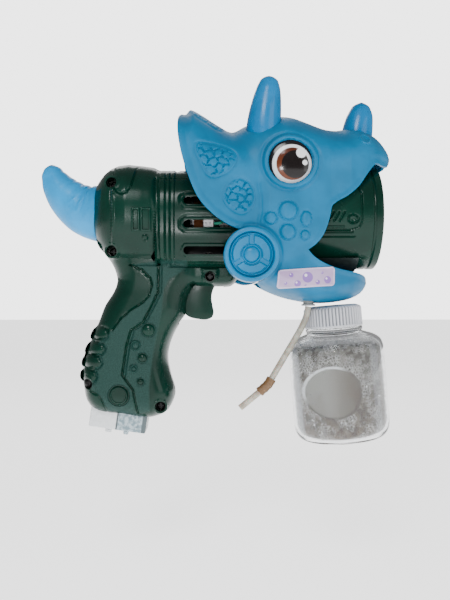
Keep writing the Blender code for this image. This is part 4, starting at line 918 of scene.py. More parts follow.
def housingRelief(x, z):
    relief = groove(x, z, domeSeam, 2.4, 1.7) * ((z > 50 * mm) & (z < 104 * mm))
    collar = fade(x, 20.6 * mm, 21.1 * mm) * (1 - fade(x, 29.2 * mm, 29.7 * mm)) * (z > 50 * mm)
    relief += collar * 0.9 * mm
    for at in (24.0, 26.9):
        relief += groove(x, z, points((at, 112), (at, 50.5)), 1.0, 0.8)
    relief += groove(x, z, barrelLine, 1.1, 0.8) * (x > 18 * mm)
    for at in (51.6, 49.3):
        relief += groove(x, z, points((27, at), (64, at)), 0.9, 0.8)
    for level in housing["slots"]:
        away = distanceTo(points((37.4, level), (62.6, level)), x, z)
        relief += 0.5 * mm * (1 - fade(np.abs(away - 3.5 * mm), 0.2 * mm, 0.8 * mm))
        relief -= 0.4 * mm * (1 - fade(np.abs(away - 4.6 * mm), 0.2 * mm, 0.7 * mm))
    relief += -groove(x, z, points((-7.6, 95.5), (-7.2, 78.8), (-7.6, 62)), 1.2, 0.8)
    relief += groove(x, z, points((-9.0, 95.5), (-8.6, 78.8), (-9.0, 62)), 0.8, 0.5)
    relief += groove(x, z, tongue, 1.1, 0.8)
    relief += 0.4 * mm * inside(tongue, x, z)
    for low, high in windows:
        away = boxAway(x, z, low, high)
        relief += 0.6 * mm * (1 - fade(np.abs(away), 0.25 * mm, 0.8 * mm))
        relief -= 0.5 * mm * (away < -0.6 * mm)
    relief += button(x, z, (12.1, 66.4), 1.5, 0.8)
    relief += groove(x, z, doubleLine, 1.1, 1.0)
    relief += groove(x, z, innerLine, 0.8, 0.7)
    relief += groove(x, z, sweepLine, 1.0, 0.9)
    relief += groove(x, z, points((2.0, 50.2), (19, 50.2)), 0.9, 0.7)
    for spot, radius, height in (((13.3, 10.3), 3.7, 2.0), ((9.6, -6.7), 2.6, 1.6), ((8.4, -21.2), 1.8, 1.2)):
        relief += button(x, z, spot, radius, height)
    for spot, radius in (((5.3, 1.0), 2.7), ((4.3, -13.2), 2.1)):
        relief += hoop(x, z, spot, radius, 0.9, 0.9) + hoop(x, z, spot, radius * 0.35, 0.9, 0.8)
    relief += hoop(x, z, (-4.9, -29.8), 6.2, 1.3, -0.9) + hoop(x, z, (-4.9, -29.8), 4.9, 1.0, 0.5)
    for frontX, frontZ in knuckles:
        ridge = points((frontX, frontZ), (frontX - 5, frontZ + 0.8), (frontX - 16, frontZ + 1.2))
        away = distanceTo(ridge, x, z)
        relief += 1.3 * mm * np.sqrt(np.clip(1 - (away / (3.4 * mm)) ** 2, 0, 1)) * (x < -12 * mm)
        relief -= 0.8 * mm * (1 - fade(np.abs(away - 3.9 * mm), 0.2 * mm, 0.9 * mm)) * (x < -11 * mm)
    relief += groove(x, z, lobe, 1.2, 0.8)
    relief += groove(x, z, recessLine, 1.2, 0.7)
    for x0, z0 in housing["screws"]:
        away = np.hypot(x - x0, z - z0)
        relief += 0.5 * mm * (1 - fade(np.abs(away - 4.1 * mm), 0.3 * mm, 0.9 * mm))
    away = boxAway(x, z, (46.6, 39.3), (55.2, 47.5))
    relief += 0.6 * mm * (1 - fade(np.abs(away), 0.25 * mm, 0.8 * mm))
    return relief * fade(distanceTo(lowerEdge, x, z), 0.0, 1.2 * mm)


roundLines = (((13.3, 10.3), 3.9), ((9.6, -6.7), 2.8), ((8.4, -21.2), 2.0), ((5.3, 1.0), 2.7),
              ((4.3, -13.2), 2.1), ((-4.9, -29.8), 6.2), ((-4.9, -29.8), 4.6), ((12.1, 66.4), 1.6))
grooves = [doubleLine, innerLine, sweepLine, tongue, lobe, domeSeam, barrelLine, recessLine,
           points((2.0, 50.2), (17, 50.2))]
grooves += [points((at, 112), (at, 50.5)) for at in (20.8, 24.0, 26.9, 29.5)]
grooves += [points((27, at), (64, at)) for at in (51.6, 49.3)]
grooves += [circle(spot, radius) for spot, radius in roundLines]
for low, high in windows:
    corners = points(low, (high[0], low[1]), high, (low[0], high[1]), low)
    grooves += [corners[k:k + 2] for k in range(4)]


def housingSurface(x, z, wallThick):
    plain = housingHeight(x, z, wallThick)
    if wallThick:
        return plain
    return np.where(plain > 1.5 * mm, np.maximum(plain + housingRelief(x, z), 0.6 * mm), plain)


def panelMask(x, z):                                 # where the greyer texture is
    back = points((-17, 3), (-19, -12), (-24, -24), (-16, -30), (-12, -40), (5, -42))
    rear = sweepLine + back + doubleLine[-2::-1]
    front = doubleLine + points((14, -40), (13.5, -25), (15.5, -8), (18.5, 8), (21.5, 22), (22.5, 35),
                                (25.5, 41), (31, 44.5), (37, 49.5), (37, 52.8))
    mask = 0
    for line in (rear, front):                       # edges soft over 0.8 mm
        edge = distanceTo(line + line[:1], x, z) * np.where(inside(np.array(line), x, z), 1, -1)
        mask = np.maximum(mask, fade(edge, -0.4 * mm, 0.4 * mm))
    mask = mask * fade(distanceTo(doubleLine, x, z), 0.6 * mm, 1.2 * mm)
    mask = mask * fade(distanceTo(sweepLine, x, z), 0.4 * mm, 1.0 * mm)
    for spot, radius in (((13.3, 10.3), 4.0), ((9.6, -6.7), 2.9), ((8.4, -21.2), 2.1), ((-4.9, -29.8), 6.4)):
        away = np.hypot(x - spot[0] * mm, z - spot[1] * mm)
        mask = mask * fade(away, (radius - 0.3) * mm, (radius + 0.3) * mm)
    for frontX, frontZ in knuckles:
        away = distanceTo(points((frontX, frontZ), (frontX - 16, frontZ + 1)), x, z)
        mask = mask * fade(away, 2.8 * mm, 3.5 * mm)
    return mask


trayPlace = Matrix.Translation((-7.4 * mm, 0, -52.5 * mm)) @ Matrix.Rotation(math.radians(8.2), 4, 'Y')
post = housing["post"]


def slotCutter(level):                               # a slot's cutting tool with round ends
    tool = block((35 * mm, -40 * mm, level * mm - 2.4 * mm), (65 * mm, -10 * mm, level * mm + 2.4 * mm))
    onlyActive(tool)
    bevel = tool.modifiers.new("round", 'BEVEL')
    bevel.width = 2.3 * mm
    bevel.segments = 6
    bevel.limit_method = 'WEIGHT'
    weights = tool.data.attributes.new("bevel_weight_edge", 'FLOAT', 'EDGE')
    for edge in tool.data.edges:
        ends = [tool.data.vertices[k].co for k in edge.vertices]
        weights.data[edge.index].value = 1.0 if abs(ends[0].y - ends[1].y) > 5 * mm else 0.0
    return applyAll(tool)


def makeHousing():
    runs = housingRuns(1.6 * mm)
    runs[6] = knuckled(runs[6])
    shell = hollowed("shellRight", runs, {2}, housingSurface, housing["wall"], green, housing["grid"],
                     housingRuns(6 * mm), grooves)
    room = 7.2 * mm                                  # half the room across for the trigger
    cut(shell, block((27 * mm, -room, 13.5 * mm), (59.5 * mm, room, 38.9 * mm)))
    cut(shell, bar(10.6 * mm, -room, room, (post[0], 0, post[1]), 'Y', 40))
    bay = block((-18.3 * mm, -10.1 * mm, -8 * mm), (18.3 * mm, 10.1 * mm, 63 * mm))
    bay.data.transform(trayPlace)
    cut(shell, bay)
    cut(shell, bar(18.3 * mm, -32 * mm, -8 * mm, (0, 0, domeZ), 'X', 64))      # the tail's socket
    for level in housing["slots"]:
        cut(shell, slotCutter(level))
    left = mirroredCopy(shell, "shellLeft")
    for index, (x, z) in enumerate(housing["screws"]):
        reach = float(housingHeight(np.array([x]), np.array([z]), 0)[0]) - 0.8 * mm
        pillar = 3.0 * mm if index == 4 else 4.4 * mm
        hole = 1.85 * mm
        cut(shell, bar(pillar, -reach, -0.2 * mm, (x, 0, z), 'Y', 28), 'UNION')
        cut(shell, bar(3.3 * mm, -40 * mm, -8.5 * mm, (x, 0, z), 'Y', 32))     # room for the screw's head
        cut(shell, bar(hole, -20 * mm, 3 * mm, (x, 0, z), 'Y', 16))
        cut(left, bar(pillar, 0.2 * mm, reach, (x, 0, z), 'Y', 28), 'UNION')
        cut(left, bar(hole, -3 * mm, 10.5 * mm, (x, 0, z), 'Y', 16))
    for half, node in ((shell, "shell_right"), (left, "shell_left")):
        faceOut(half)
        shadeRound(half, 32)
        places = vertexPlaces(half)
        outer = np.abs(places[:, 1]) > housingHeight(places[:, 0], places[:, 2], 1.0 * mm)
        paint(half, "panel", panelMask(places[:, 0], places[:, 2]) * outer)
        stands(half, "housing", "housing_green", node)
    return shell, left


makeHousing()
slotShade = block((34 * mm, 3.0 * mm, 50.8 * mm), (67 * mm, 4.2 * mm, 69.5 * mm), 0.4 * mm)
cut(slotShade, block((13 * mm, 3.0 * mm, 46 * mm), (35 * mm, 4.2 * mm, 60 * mm), 0.4 * mm), 'UNION')
slotShade.name = "slotBaffle"                           # a black sheet behind the lowest slot, as painted shade: the dark inside seen through the slot
slotShade.data.materials.append(black.material)
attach(shadeRound(slotShade), "housing")
print("housing made")


# ---- head

headTop = points((35.6, 144.2), (37.0, 146.6), (39.0, 147.6), (41.4, 146.9), (45.6, 144.7), (57.6, 137.4),
                 (64.5, 134.2), (72.3, 138.0),
                 (80, 140.9), (88.3, 143.3), (95.4, 144.3), (102.4, 143.6), (110, 141), (117.1, 138.2),
                 (123, 136.2), (129.3, 135.7), (135, 136.6), (142.1, 136.2), (148.5, 134.6), (153.6, 132.4),
                 (157.6, 129.2), (161, 125), (163.4, 121), (164.2, 117.1), (162.8, 113.4))
headLip = points((162.8, 113.4), (159, 111.8), (155.4, 111.6), (152, 112), (149.4, 110.6), (144.6, 104.7),
                 (139, 96.8), (132.2, 90.7), (126.4, 87.4))
headCorner = points((126.4, 87.4), (122.6, 84.2), (121.7, 80.6), (120.3, 74.7), (117.4, 67.2), (113.4, 61.9),
                    (108.8, 58.4))
jawEdge = points((108.8, 58.4), (111.9, 54.9), (116.2, 52), (122.4, 49.3), (128.8, 47.4), (136, 46.1),
                 (142.5, 44.8), (146.8, 43.4), (149.8, 41))
jawKeel = points((149.8, 41), (149.2, 37.6), (146.4, 33.6), (141.4, 30.4), (134.4, 28.2), (124.8, 26.9),
                 (115.2, 26.9), (105.6, 28.2), (96, 30.6), (86.4, 34.4), (76.8, 39.4))
headNape = points((76.8, 39.4), (72, 50), (70, 60), (69.5, 70))
frillRim = points((69.5, 70), (66.6, 70.5), (60.8, 72.9), (53.3, 77.8), (46.5, 84.4), (41.9, 91.9),
                  (37.8, 102.5), (34.5, 113.4), (32.5, 125.2), (32.3, 135.6), (33.9, 140.8), (35.6, 144.2))
headLines = [headTop, headLip, headCorner, jawEdge, jawKeel, headNape, frillRim]
disc = {"at": (75.1 * mm, 55.2 * mm), "radius": 16.1 * mm}
roughTop, roughKeel = smooth(headTop, 3 * mm), smooth(jawKeel, 3 * mm)
roughRim = smooth(frillRim, 3 * mm)
roughMouth = np.vstack([smooth(line, 3 * mm)[:-1] for line in (headLip, headCorner, jawEdge)])


def headHeight(x, z, wallThick):
    upper = np.interp(x, [0.030, 0.045, 0.060, 0.072, 0.080, 0.095,
                          0.110, 0.122, 0.134, 0.145, 0.155, 0.165],
                      [0.050, 0.0495, 0.0465, 0.042, 0.0405, 0.0415,
                       0.041, 0.039, 0.0355, 0.029, 0.0205, 0.012])
    lower = np.interp(x, [0.070, 0.090, 0.105, 0.116, 0.128, 0.138, 0.145, 0.151],
                      [0.038, 0.0395, 0.0385, 0.0355, 0.030, 0.0235, 0.0165, 0.006])
    blend = fade(z, 0.048, 0.072)
    half = upper * blend + lower * (1 - blend) - wallThick
    topRadius = np.interp(x, [0.030, 0.060, 0.100, 0.130, 0.150, 0.165],
                          [0.030, 0.030, 0.032, 0.026, 0.017, 0.010]) - wallThick
    over = rounding(distanceTo(roughTop, x, z) - wallThick, topRadius)
    under = rounding(distanceTo(roughKeel, x, z) - wallThick, 0.011 - wallThick)
    return half * over * under


cheekButtons = (((96.6, 81.0), 5.1, 1.5), ((86.3, 76.6), 3.4, 1.2), ((96.3, 68.7), 4.2, 1.3),
                ((106.5, 66.9), 2.4, 1.0))           # place, radius and height in millimetres
eyeDepth = float(headHeight(np.array([eye["at"][0]]), np.array([eye["at"][1]]), 0)[0])
crease = points((64.5, 134), (70.5, 122), (76, 108), (79.4, 97), (80.8, 88), (80.9, 80), (79.2, 73))
upperPatch = points((42.9, 118.4), (44.5, 119.4), (54.4, 118.8), (63.0, 116.4), (66.6, 111.6), (64.8, 106.6),
                    (60.3, 101.9), (53.6, 99.3), (49.2, 101.1), (45.6, 107.6), (42.9, 114.1), (42.9, 118.4))
lowerPatch = points((58.6, 88.8), (61.2, 95.2), (66.0, 98.9), (72.0, 98.4), (76.4, 93.6), (77.0, 87.4),
                    (74.4, 81.6), (69.4, 78.9), (64.2, 80.8), (60.0, 84.6), (58.6, 88.8))
topPatch = points((40.2, 143.6), (46, 140.8), (54, 136.6), (60.0, 132.2), (56.4, 129.2), (48.6, 133.6),
                  (41.6, 138.4), (40.2, 143.6))
upperPatch, lowerPatch, topPatch = [smooth(ring, 1.5 * mm)[:-1] for ring in (upperPatch, lowerPatch, topPatch)]
scalePatches = ((upperPatch, 5.2 * mm, 4), (lowerPatch, 4.9 * mm, 9), (topPatch, 4.0 * mm, 12))


headGrooves = [circle(spot, radius + 0.4) for spot, radius, height in cheekButtons]
headGrooves += [circle((98.2, 110), radius) for radius in (13.0, 14.8, 16.6)]
headGrooves += [circle((144.2, 127.0), 3.2), list(upperPatch), list(lowerPatch), crease[3:]]


def headRelief(x, z):
    relief = -0.8 * mm * (1 - fade(distanceTo(crease, x, z), 0, 6.5 * mm))
    relief += groove(x, z, crease[3:], 1.6, 0.5)
    rim = distanceTo(roughRim, x, z)
    relief += 0.9 * mm * (1 - fade(rim, 1.5 * mm, 4.5 * mm))
    for ring, spacing, seed in scalePatches:
        relief += scales(x, z, ring, spacing, seed)
    for spot, radius, height in cheekButtons:
        relief += button(x, z, spot, radius, height, 0.4)
    relief += button(107.1 * mm + (x - 107.1 * mm) * 1.35, z, (107.1, 76.3), 4.1, 1.3, 0.4)
    relief += hoop(x, z, (144.2, 127.0), 3.2, 1.4, 0.9) + hoop(x, z, (144.2, 127.0), 0.8, 1.8, -0.8)
    relief += 1.3 * mm * np.exp(-(((x - 90 * mm) / (17 * mm)) ** 2 + ((z - 129 * mm) / (6 * mm)) ** 2))
    relief += 1.2 * mm * np.exp(-(((x - 122 * mm) / (11 * mm)) ** 2 + ((z - 118 * mm) / (12 * mm)) ** 2))
    mouth = distanceTo(roughMouth, x, z)
    relief += 0.7 * mm * (1 - fade(mouth, 0.8 * mm, 3.5 * mm))
    relief -= 0.8 * mm * (1 - fade(distanceTo(points((112, 60.5), (105, 56), (97, 51)), x, z), 0, 7 * mm))
    discAway = np.hypot(x - disc["at"][0], z - disc["at"][1])
    relief -= 0.8 * mm * (1 - fade(np.abs(discAway - 17.6 * mm), 0.2 * mm, 1.6 * mm))
    return relief


def headSurface(x, z, wallThick):
    plain = headHeight(x, z, wallThick)
    if wallThick:
        return plain
    shaped = np.maximum(plain + headRelief(x, z) * fade(plain, 2 * mm, 8 * mm), 1 * mm)
    shaped = np.where(plain > 2 * mm, shaped, plain)
    away = np.hypot(x - eye["at"][0], z - eye["at"][1])
    bead = 1.7 * mm * np.sqrt(np.clip(1 - ((away - 14.6 * mm) / (1.7 * mm)) ** 2, 0, 1))
    shaped = shaped + bead * (away < 16.6 * mm)
    shaped = shaped - 0.6 * mm * (1 - fade(np.abs(away - 17.2 * mm), 0.3 * mm, 1.6 * mm))
    return np.where(away < eye["rimInner"], np.minimum(shaped, eyeDepth - 3.0 * mm), shaped)


hornRun = [(83.5, 23.0, 127.0), (83.6, 23.3, 133.0), (84.2, 23.6, 140.0), (85.2, 23.8, 147.5),
           (86.2, 23.9, 154.5), (86.7, 23.9, 159.5), (86.9, 23.9, 162.8), (87.0, 23.9, 164.6)]
hornRadii = [10.6, 10.6, 10.0, 9.0, 7.7, 6.3, 4.4, 0.8]
noseRun = [(143.8, 0.0, 130.0), (144.4, 0.0, 136.0), (145.3, 0.0, 141.5), (146.2, 0.0, 146.5),
           (146.6, 0.0, 150.6), (146.8, 0.0, 153.4), (146.9, 0.0, 155.4)]
noseRadii = [9.4, 9.4, 8.8, 7.9, 6.5, 4.7, 0.8]


def hornPiece(name, run, radii, finish, side=1, grow=0.0, step=0.9 * mm, sides=10):
    # A tapering round bar: a beveled curve made a mesh
    line = smooth([(x * mm, y * side * mm, z * mm) for x, y, z in run], step)
    t = np.linspace(0, 1, len(line))
    knots = np.cumsum([0] + [np.linalg.norm(np.subtract(a, b)) for a, b in zip(run[1:], run[:-1])])
    size = smooth([(k, r) for k, r in zip(knots, radii)], 0.4)
    size = np.interp(t * knots[-1], size[:, 0], size[:, 1])
    piece = curveAlong(name, line, 1 * mm, sides, finish)
    for spot, radius in zip(piece.data.splines[0].points, size):
        spot.radius = max(radius, 0.4) + grow / mm
    return faceOut(curveToMesh(piece))


def makeHead():
    runs = [smooth(line, 1.6 * mm) for line in headLines]
    coarse = [smooth(line, 6 * mm if line is headNape else 7.5 * mm) for line in headLines]
    half = hollowed("headRight", runs, {1, 2, 3, 5, 6}, headSurface, 2 * mm, blue, 0.85 * mm, coarse,
                    headGrooves)
    discSpot = (disc["at"][0], 0, disc["at"][1])
    for tool in (hornPiece("browTool", hornRun, hornRadii, blue, -1, 0.25 * mm, 3 * mm),
                 hornPiece("noseTool", noseRun, noseRadii, blue, 1, 0.25 * mm, 3 * mm),
                 bar(disc["radius"] + 0.3 * mm, -60 * mm, -8 * mm, discSpot, 'Y', 96)):
        cut(half, tool)
    left = mirroredCopy(half, "headLeft")
    cut(half, bar(3.6 * mm, 20 * mm, 33 * mm, (112.3 * mm, tubeSide, 0), 'Z', 28))
    for piece, node in ((half, "head_right"), (left, "head_left")):
        faceOut(piece)
        shadeRound(piece, 40)
        stands(piece, "housing", "head_blue", node)


makeHead()
for side, word in ((-1, "Right"), (1, "Left")):
    horn = hornPiece("browHorn" + word, hornRun, hornRadii, hornBlue, side)
    stands(shadeRound(horn, 60), "housing", "horn_blue", "brow_horn_" + word.lower())
horn = hornPiece("noseHorn", noseRun, noseRadii, hornBlue)
stands(shadeRound(horn, 60), "housing", "horn_blue", "nose_horn")
print("head and horns made")


# ---- eyes

def makeEye(side, word):
    depth = eyeDepth - 2.9 * mm
    radius = eye["radius"]
    profile = [(radius * math.sin(a) / math.sin(0.5), depth + 2.2 * mm * (math.cos(a) - math.cos(0.5))
                / (1 - math.cos(0.5))) for a in np.linspace(0, 0.5, 26)]
    profile += [(radius, depth - 1 * mm), (0, depth - 1 * mm)]
    profile[0] = (0, profile[0][1])
    place = Matrix.Translation((eye["at"][0], 0, eye["at"][1])) @ Matrix.Diagonal((1, side, 1, 1)) @ standY
    piece = spun("eye" + word, profile, eyePaint(word), 96, place)
    stands(shadeRound(piece, 40), "housing", "eye_print", "eye_" + word.lower())


makeEye(-1, "Right")
makeEye(1, "Left")


# ---- cheek discs

def discFace(r, angle):                              # proud height over the disc's flat, in metres
    edge = 16.1
    height = np.where(r > 13.2, 0.6 + 1.7 * np.sqrt(np.clip(1 - ((r - 14.4) / 1.9) ** 2, 0, 1)), 0.0)
    height -= 0.35 * (1 - fade(np.abs(r - 13.0), 0.15, 0.6))
    height += 0.8 * fade(r, 11.4, 11.8) * (1 - fade(r, 12.1, 12.6))
    sector = fade(r, 6.0, 6.8) * (1 - fade(r, 10.6, 11.2))
    for spoke in (90, 210, 330):
        off = np.abs((angle - math.radians(spoke) + math.pi) % (2 * math.pi) - math.pi)
        sector = sector * fade(off * r, 1.0, 1.9)
    height += 1.3 * sector
    height += 0.8 * fade(r, 4.6, 5.0) * (1 - fade(r, 5.3, 5.9))
    height += 1.5 * np.sqrt(np.clip(1 - (r / 4.3) ** 2, 0, 1)) * (r < 4.3)
    return np.where(r > edge - 0.05, 0.0, height) * mm


def makeDisc(side, word):
    base = 44.4 * mm
    rows = list(np.linspace(0, 15.6, 60) * mm) + [15.9 * mm, 16.1 * mm]
    profile = [(r, base) for r in rows]
    profile += points((16.1, 43.6), (16.1, 37), (16.1, 30.2), (14.3, 30.2), (14.3, 42.4), (0, 42.4))
    piece = spun("cheekDisc" + word, profile, discBlue, 180, Matrix.Identity(4))
    places = vertexPlaces(piece)
    r = np.hypot(places[:, 0], places[:, 1]) / mm
    angle = np.arctan2(places[:, 1], places[:, 0])
    proud = discFace(r, angle)
    onFace = places[:, 2] > 44.3 * mm
    for vertex, lift, face in zip(piece.data.vertices, proud, onFace):
        if face:
            vertex.co.z += lift
    turned = Matrix(((1, 0, 0, disc["at"][0]), (0, 0, side, 0), (0, 1, 0, disc["at"][1]), (0, 0, 0, 1)))
    piece.data.transform(turned)
    faceOut(piece)
    stands(shadeRound(piece, 40), "housing", "horn_blue", "cheek_disc_" + word.lower())


discBlue = plastic("discBlue", (0.0001, 0.155, 0.335), 0.36, 0.10, 0.2, 1800, 1.25, Specular_IOR_Level=0.28)
makeDisc(-1, "Right")
makeDisc(1, "Left")


# ---- jaw sticker

def makeSticker():
    sticker = {"columns": 60, "rows": 22, "lift": 0.35 * mm, "thick": 0.3 * mm}
    deselectAll()
    bpy.ops.mesh.primitive_grid_add(x_subdivisions=sticker["columns"], y_subdivisions=sticker["rows"], size=2)
    piece = bpy.context.active_object
    piece.name = "jawLabel"
    corner, border = 2.2, []
    for vertex in piece.data.vertices:
        u, v = (vertex.co.x + 1) / 2, (vertex.co.y + 1) / 2
        wide, tall = u * 34.2, v * 10.9
        outX = max(corner - wide, wide - (34.2 - corner), 0)
        outZ = max(corner - tall, tall - (10.9 - corner), 0)
        out = math.hypot(outX, outZ)
        if out > corner:                             # rounded corners
            wide += (outX - outX * corner / out) * (1 if wide < corner else -1)
            tall += (outZ - outZ * corner / out) * (1 if tall < corner else -1)
        u, v = wide / 34.2, tall / 10.9
        x, z = (90.8 + 34.2 * u) * mm, (35.6 + 10.6 * v + (1.7 + 0.8 * v) * u) * mm
        border.append(min(wide, 34.2 - wide, tall, 10.9 - tall))
        vertex.co = (x, 0, z)
    places = vertexPlaces(piece)
    depth = headSurface(places[:, 0], places[:, 2], 0) + sticker["lift"]
    for vertex, y in zip(piece.data.vertices, depth):
        vertex.co.y = -y
    paint(piece, "border", 1 - fade(np.array(border), 0.5, 0.8))
    piece.data.materials.clear()
    piece.data.materials.append(label.material)
    bpy.context.view_layer.update()
    onlyActive(piece)
    bpy.ops.object.mode_set(mode='EDIT')
    bpy.ops.mesh.select_all(action='SELECT')
    bpy.ops.mesh.normals_make_consistent(inside=False)
    bpy.ops.object.mode_set(mode='OBJECT')
    if piece.data.polygons[0].normal.y > 0:
        piece.data.flip_normals()
    sheet = piece.modifiers.new("thick", 'SOLIDIFY')
    sheet.thickness = sticker["thick"]
    sheet.offset = 1
    applyAll(piece)
    stands(shadeRound(piece, 40), "housing", "label_lilac", "jaw_label")


makeSticker()
print("eyes, discs and sticker made")


# ---- nozzle

nozzle = {"radius": 32.5, "bore": 30.3, "rear": 104.5, "rim": 151.0}


def nozzleRelief(x, z):                              # in side view, in metres
    relief = np.zeros(np.shape(x))
    for start in (121.6, 125.0, 128.4):
        relief += groove(x, z, points((start, 76.2), (start + 3.0, 81.4)), 1.2, 1.1)
    relief += hoop(x, z, (135.8, 77.2), 2.5, 1.0, -1.0) + hoop(x, z, (135.8, 77.2), 0.4, 1.4, -0.7)
    relief += groove(x, z, points((118, 72.6), (131, 72.6)), 0.9, -0.8)
    relief += groove(x, z, points((112, 69.4), (136, 69.4)), 0.8, 0.8)
    relief += groove(x, z, points((112, 66.8), (137, 66.8)), 0.8, 0.8)
    panel = points((112, 98.6), (134, 98.6), (138.4, 96.8), (140, 92.6), (140, 76), (138.6, 72.2),
                   (135, 70.8), (112, 70.8))
    relief += groove(x, z, panel, 0.9, 0.8)
    return relief


def makeNozzle():
    length = nozzle["rim"] - nozzle["rear"]
    outer = [(nozzle["radius"] * mm, (nozzle["rim"] - 1.0 - t * (length - 1.0)) * mm)
             for t in np.linspace(0, 1, 112)]
    lip = points((30.3, 150.2), (30.6, 150.8), (31.2, 151.0), (31.9, 150.9), (32.4, 150.5))
    bore = points(*((nozzle["bore"], at) for at in (nozzle["rear"], 112, 120, 135, 148)))
    profile = lip + outer + bore
    piece = spun("nozzleTube", profile, green, 420, Matrix.Translation((0, 0, barrelZ)) @ standX)
    places = vertexPlaces(piece)
    away = np.hypot(places[:, 1], places[:, 2] - barrelZ)
    outerSkin = away > 32.2 * mm
    relief = nozzleRelief(places[:, 0], places[:, 2]) * (np.abs(places[:, 2] - barrelZ) < 22 * mm)
    relief += -0.7 * mm * (1 - fade(np.abs(places[:, 0] - 146.2 * mm), 0.3 * mm, 0.8 * mm))
    factor = np.where(outerSkin, 1 + relief / (nozzle["radius"] * mm), 1)
    for vertex, size in zip(piece.data.vertices, factor):
        vertex.co.y *= size
        vertex.co.z = barrelZ + (vertex.co.z - barrelZ) * size
    lengthen(piece, 132 * mm, 150 * mm, 4.2 * mm)
    faceOut(piece)
    paint(piece, "panel", np.zeros(len(places)))
    stands(shadeRound(piece, 35), "housing", "housing_green", "nozzle")


makeNozzle()
tray = spun("dripTray", points((33.2, 113), (34.7, 113), (34.7, 142), (33.2, 142)), dark, 160,
            Matrix.Translation((0, 0, barrelZ)) @ standX)
cut(tray, block((100 * mm, -45 * mm, 54.5 * mm), (160 * mm, 45 * mm, 130 * mm)))
stands(shadeRound(faceOut(tray), 35), "housing", "grey_plastic", "drip_tray")
for piece in bpy.data.objects:
    if piece.name.startswith(("headRight", "headLeft", "noseHorn", "jawLabel")) and piece.type == 'MESH':
        lengthen(piece, 112 * mm, 160 * mm, 1.3 * mm)
print("nozzle made")


# ---- tail

tailRun = [(-12.2, 0.0, 84.0), (-20.2, 0.0, 84.0), (-29.6, 0.0, 86.4), (-38.6, 0.0, 92.7),
           (-45.0, 0.0, 100.3), (-48.4, 0.0, 106.8), (-49.3, 0.0, 110.6), (-49.7, 0.0, 113.2), (-49.8, 0.0, 114.8)]
tailRadii = [17.7, 17.7, 15.6, 13.0, 10.4, 7.8, 6.2, 4.2, 0.8]


def makeTail():
    piece = hornPiece("tailHorn", tailRun, tailRadii, tailBlue, 1, 0, 0.7 * mm, 22)
    places = vertexPlaces(piece)
    line = smooth([(x * mm, z * mm) for x, y, z in tailRun], 0.08 * mm)
    tangent = np.gradient(line, axis=0)
    tangent /= np.linalg.norm(tangent, axis=1)[:, None]
    near = np.array([np.argmin(np.hypot(line[:, 0] - x, line[:, 1] - z)) for x, y, z in places])
    centre = line[near]
    offset = np.column_stack([places[:, 0] - centre[:, 0], places[:, 1], places[:, 2] - centre[:, 1]])
    radius = np.linalg.norm(offset, axis=1)
    inward = np.column_stack([tangent[near][:, 1], -tangent[near][:, 0]])      # towards the inner bend
    upper = (offset[:, 0] * inward[:, 0] + offset[:, 2] * inward[:, 1]) / np.maximum(radius, 1e-9)
    run = near / len(line)
    ribs = np.abs(np.sin(np.pi * (run * 7.4 + 0.25))) * 0.65 * fade(upper, 0.0, 0.9)
    ribs = ribs * fade(run, 0.16, 0.24) * (1 - fade(run, 0.62, 0.74))
    facing = np.abs(places[:, 1]) > 3 * mm
    rings = sum(hoop(places[:, 0], places[:, 2], at, size, 1.0, 0.6) / mm
                for at, size in (((-33.0, 87.5), 3.6), ((-24.5, 79.5), 2.4), ((-37.2, 80.4), 1.6)))
    for at in (0.30, 0.37):
        line = 1 - fade(np.abs(run - at - 0.05 * upper), 0.004, 0.014)
        rings = rings - 0.6 * line * fade(upper, -0.2, 0.2)
    rings = rings - 0.8 * (1 - fade(np.abs(run - 0.115), 0.006, 0.02))
    grow = 1 + (ribs + rings * facing) * mm / np.maximum(radius, 2 * mm)
    for vertex, size, (cx, cz) in zip(piece.data.vertices, grow, centre):
        hub = Vector((cx, 0, cz))
        vertex.co = hub + (vertex.co - hub) * size
    faceOut(piece)
    stands(shadeRound(piece, 60), "housing", "horn_blue", "tail")


makeTail()
print("tail made")


# ---- trigger and screws

def makeTrigger():
    outline = smooth(points((58.0, 43.4), (57.2, 46.6), (54.6, 49.4), (50.9, 50.4), (47.2, 49.4),
                            (44.6, 46.6), (42.4, 40.6), (39.6, 38.2), (36.6, 35.4), (35.0, 31), (34.4, 25),
                            (35.0, 20.5), (38.5, 17.8), (44.8, 16.5), (49.3, 16.5), (52.3, 18), (53.3, 21.2), (52.5, 25.4), (51.9, 31),
                            (53.4, 36.6), (56.2, 39.8), (58.0, 43.4)), 1.2 * mm)[:-1]
    curve = bpy.data.curves.new("trigger", 'CURVE')
    curve.dimensions = '2D'
    curve.fill_mode = 'BOTH'
    curve.extrude = 5.0 * mm
    curve.bevel_depth = 1.4 * mm
    curve.bevel_resolution = 4
    curve.offset = -1.4 * mm
    spline = curve.splines.new('POLY')
    spline.points.add(len(outline) - 1)
    for spot, (a, b) in zip(spline.points, outline):
        spot.co = (a, b, 0, 1)
    spline.use_cyclic_u = True
    piece = bpy.data.objects.new("triggerLever", curve)
    bpy.context.scene.collection.objects.link(piece)
    piece = curveToMesh(piece)
    piece.data.transform(Matrix.Rotation(math.radians(90), 4, 'X'))
    piece.data.materials.clear()
    piece.data.materials.append(green.material)
    faceOut(piece)
    cut(piece, bar(4.7 * mm, -8 * mm, 8 * mm, (post[0], 0, post[1]), 'Y', 40))
    paint(piece, "panel", np.zeros(len(piece.data.vertices)))
    stands(shadeRound(faceOut(piece), 40), "trigger", "housing_green", "trigger")


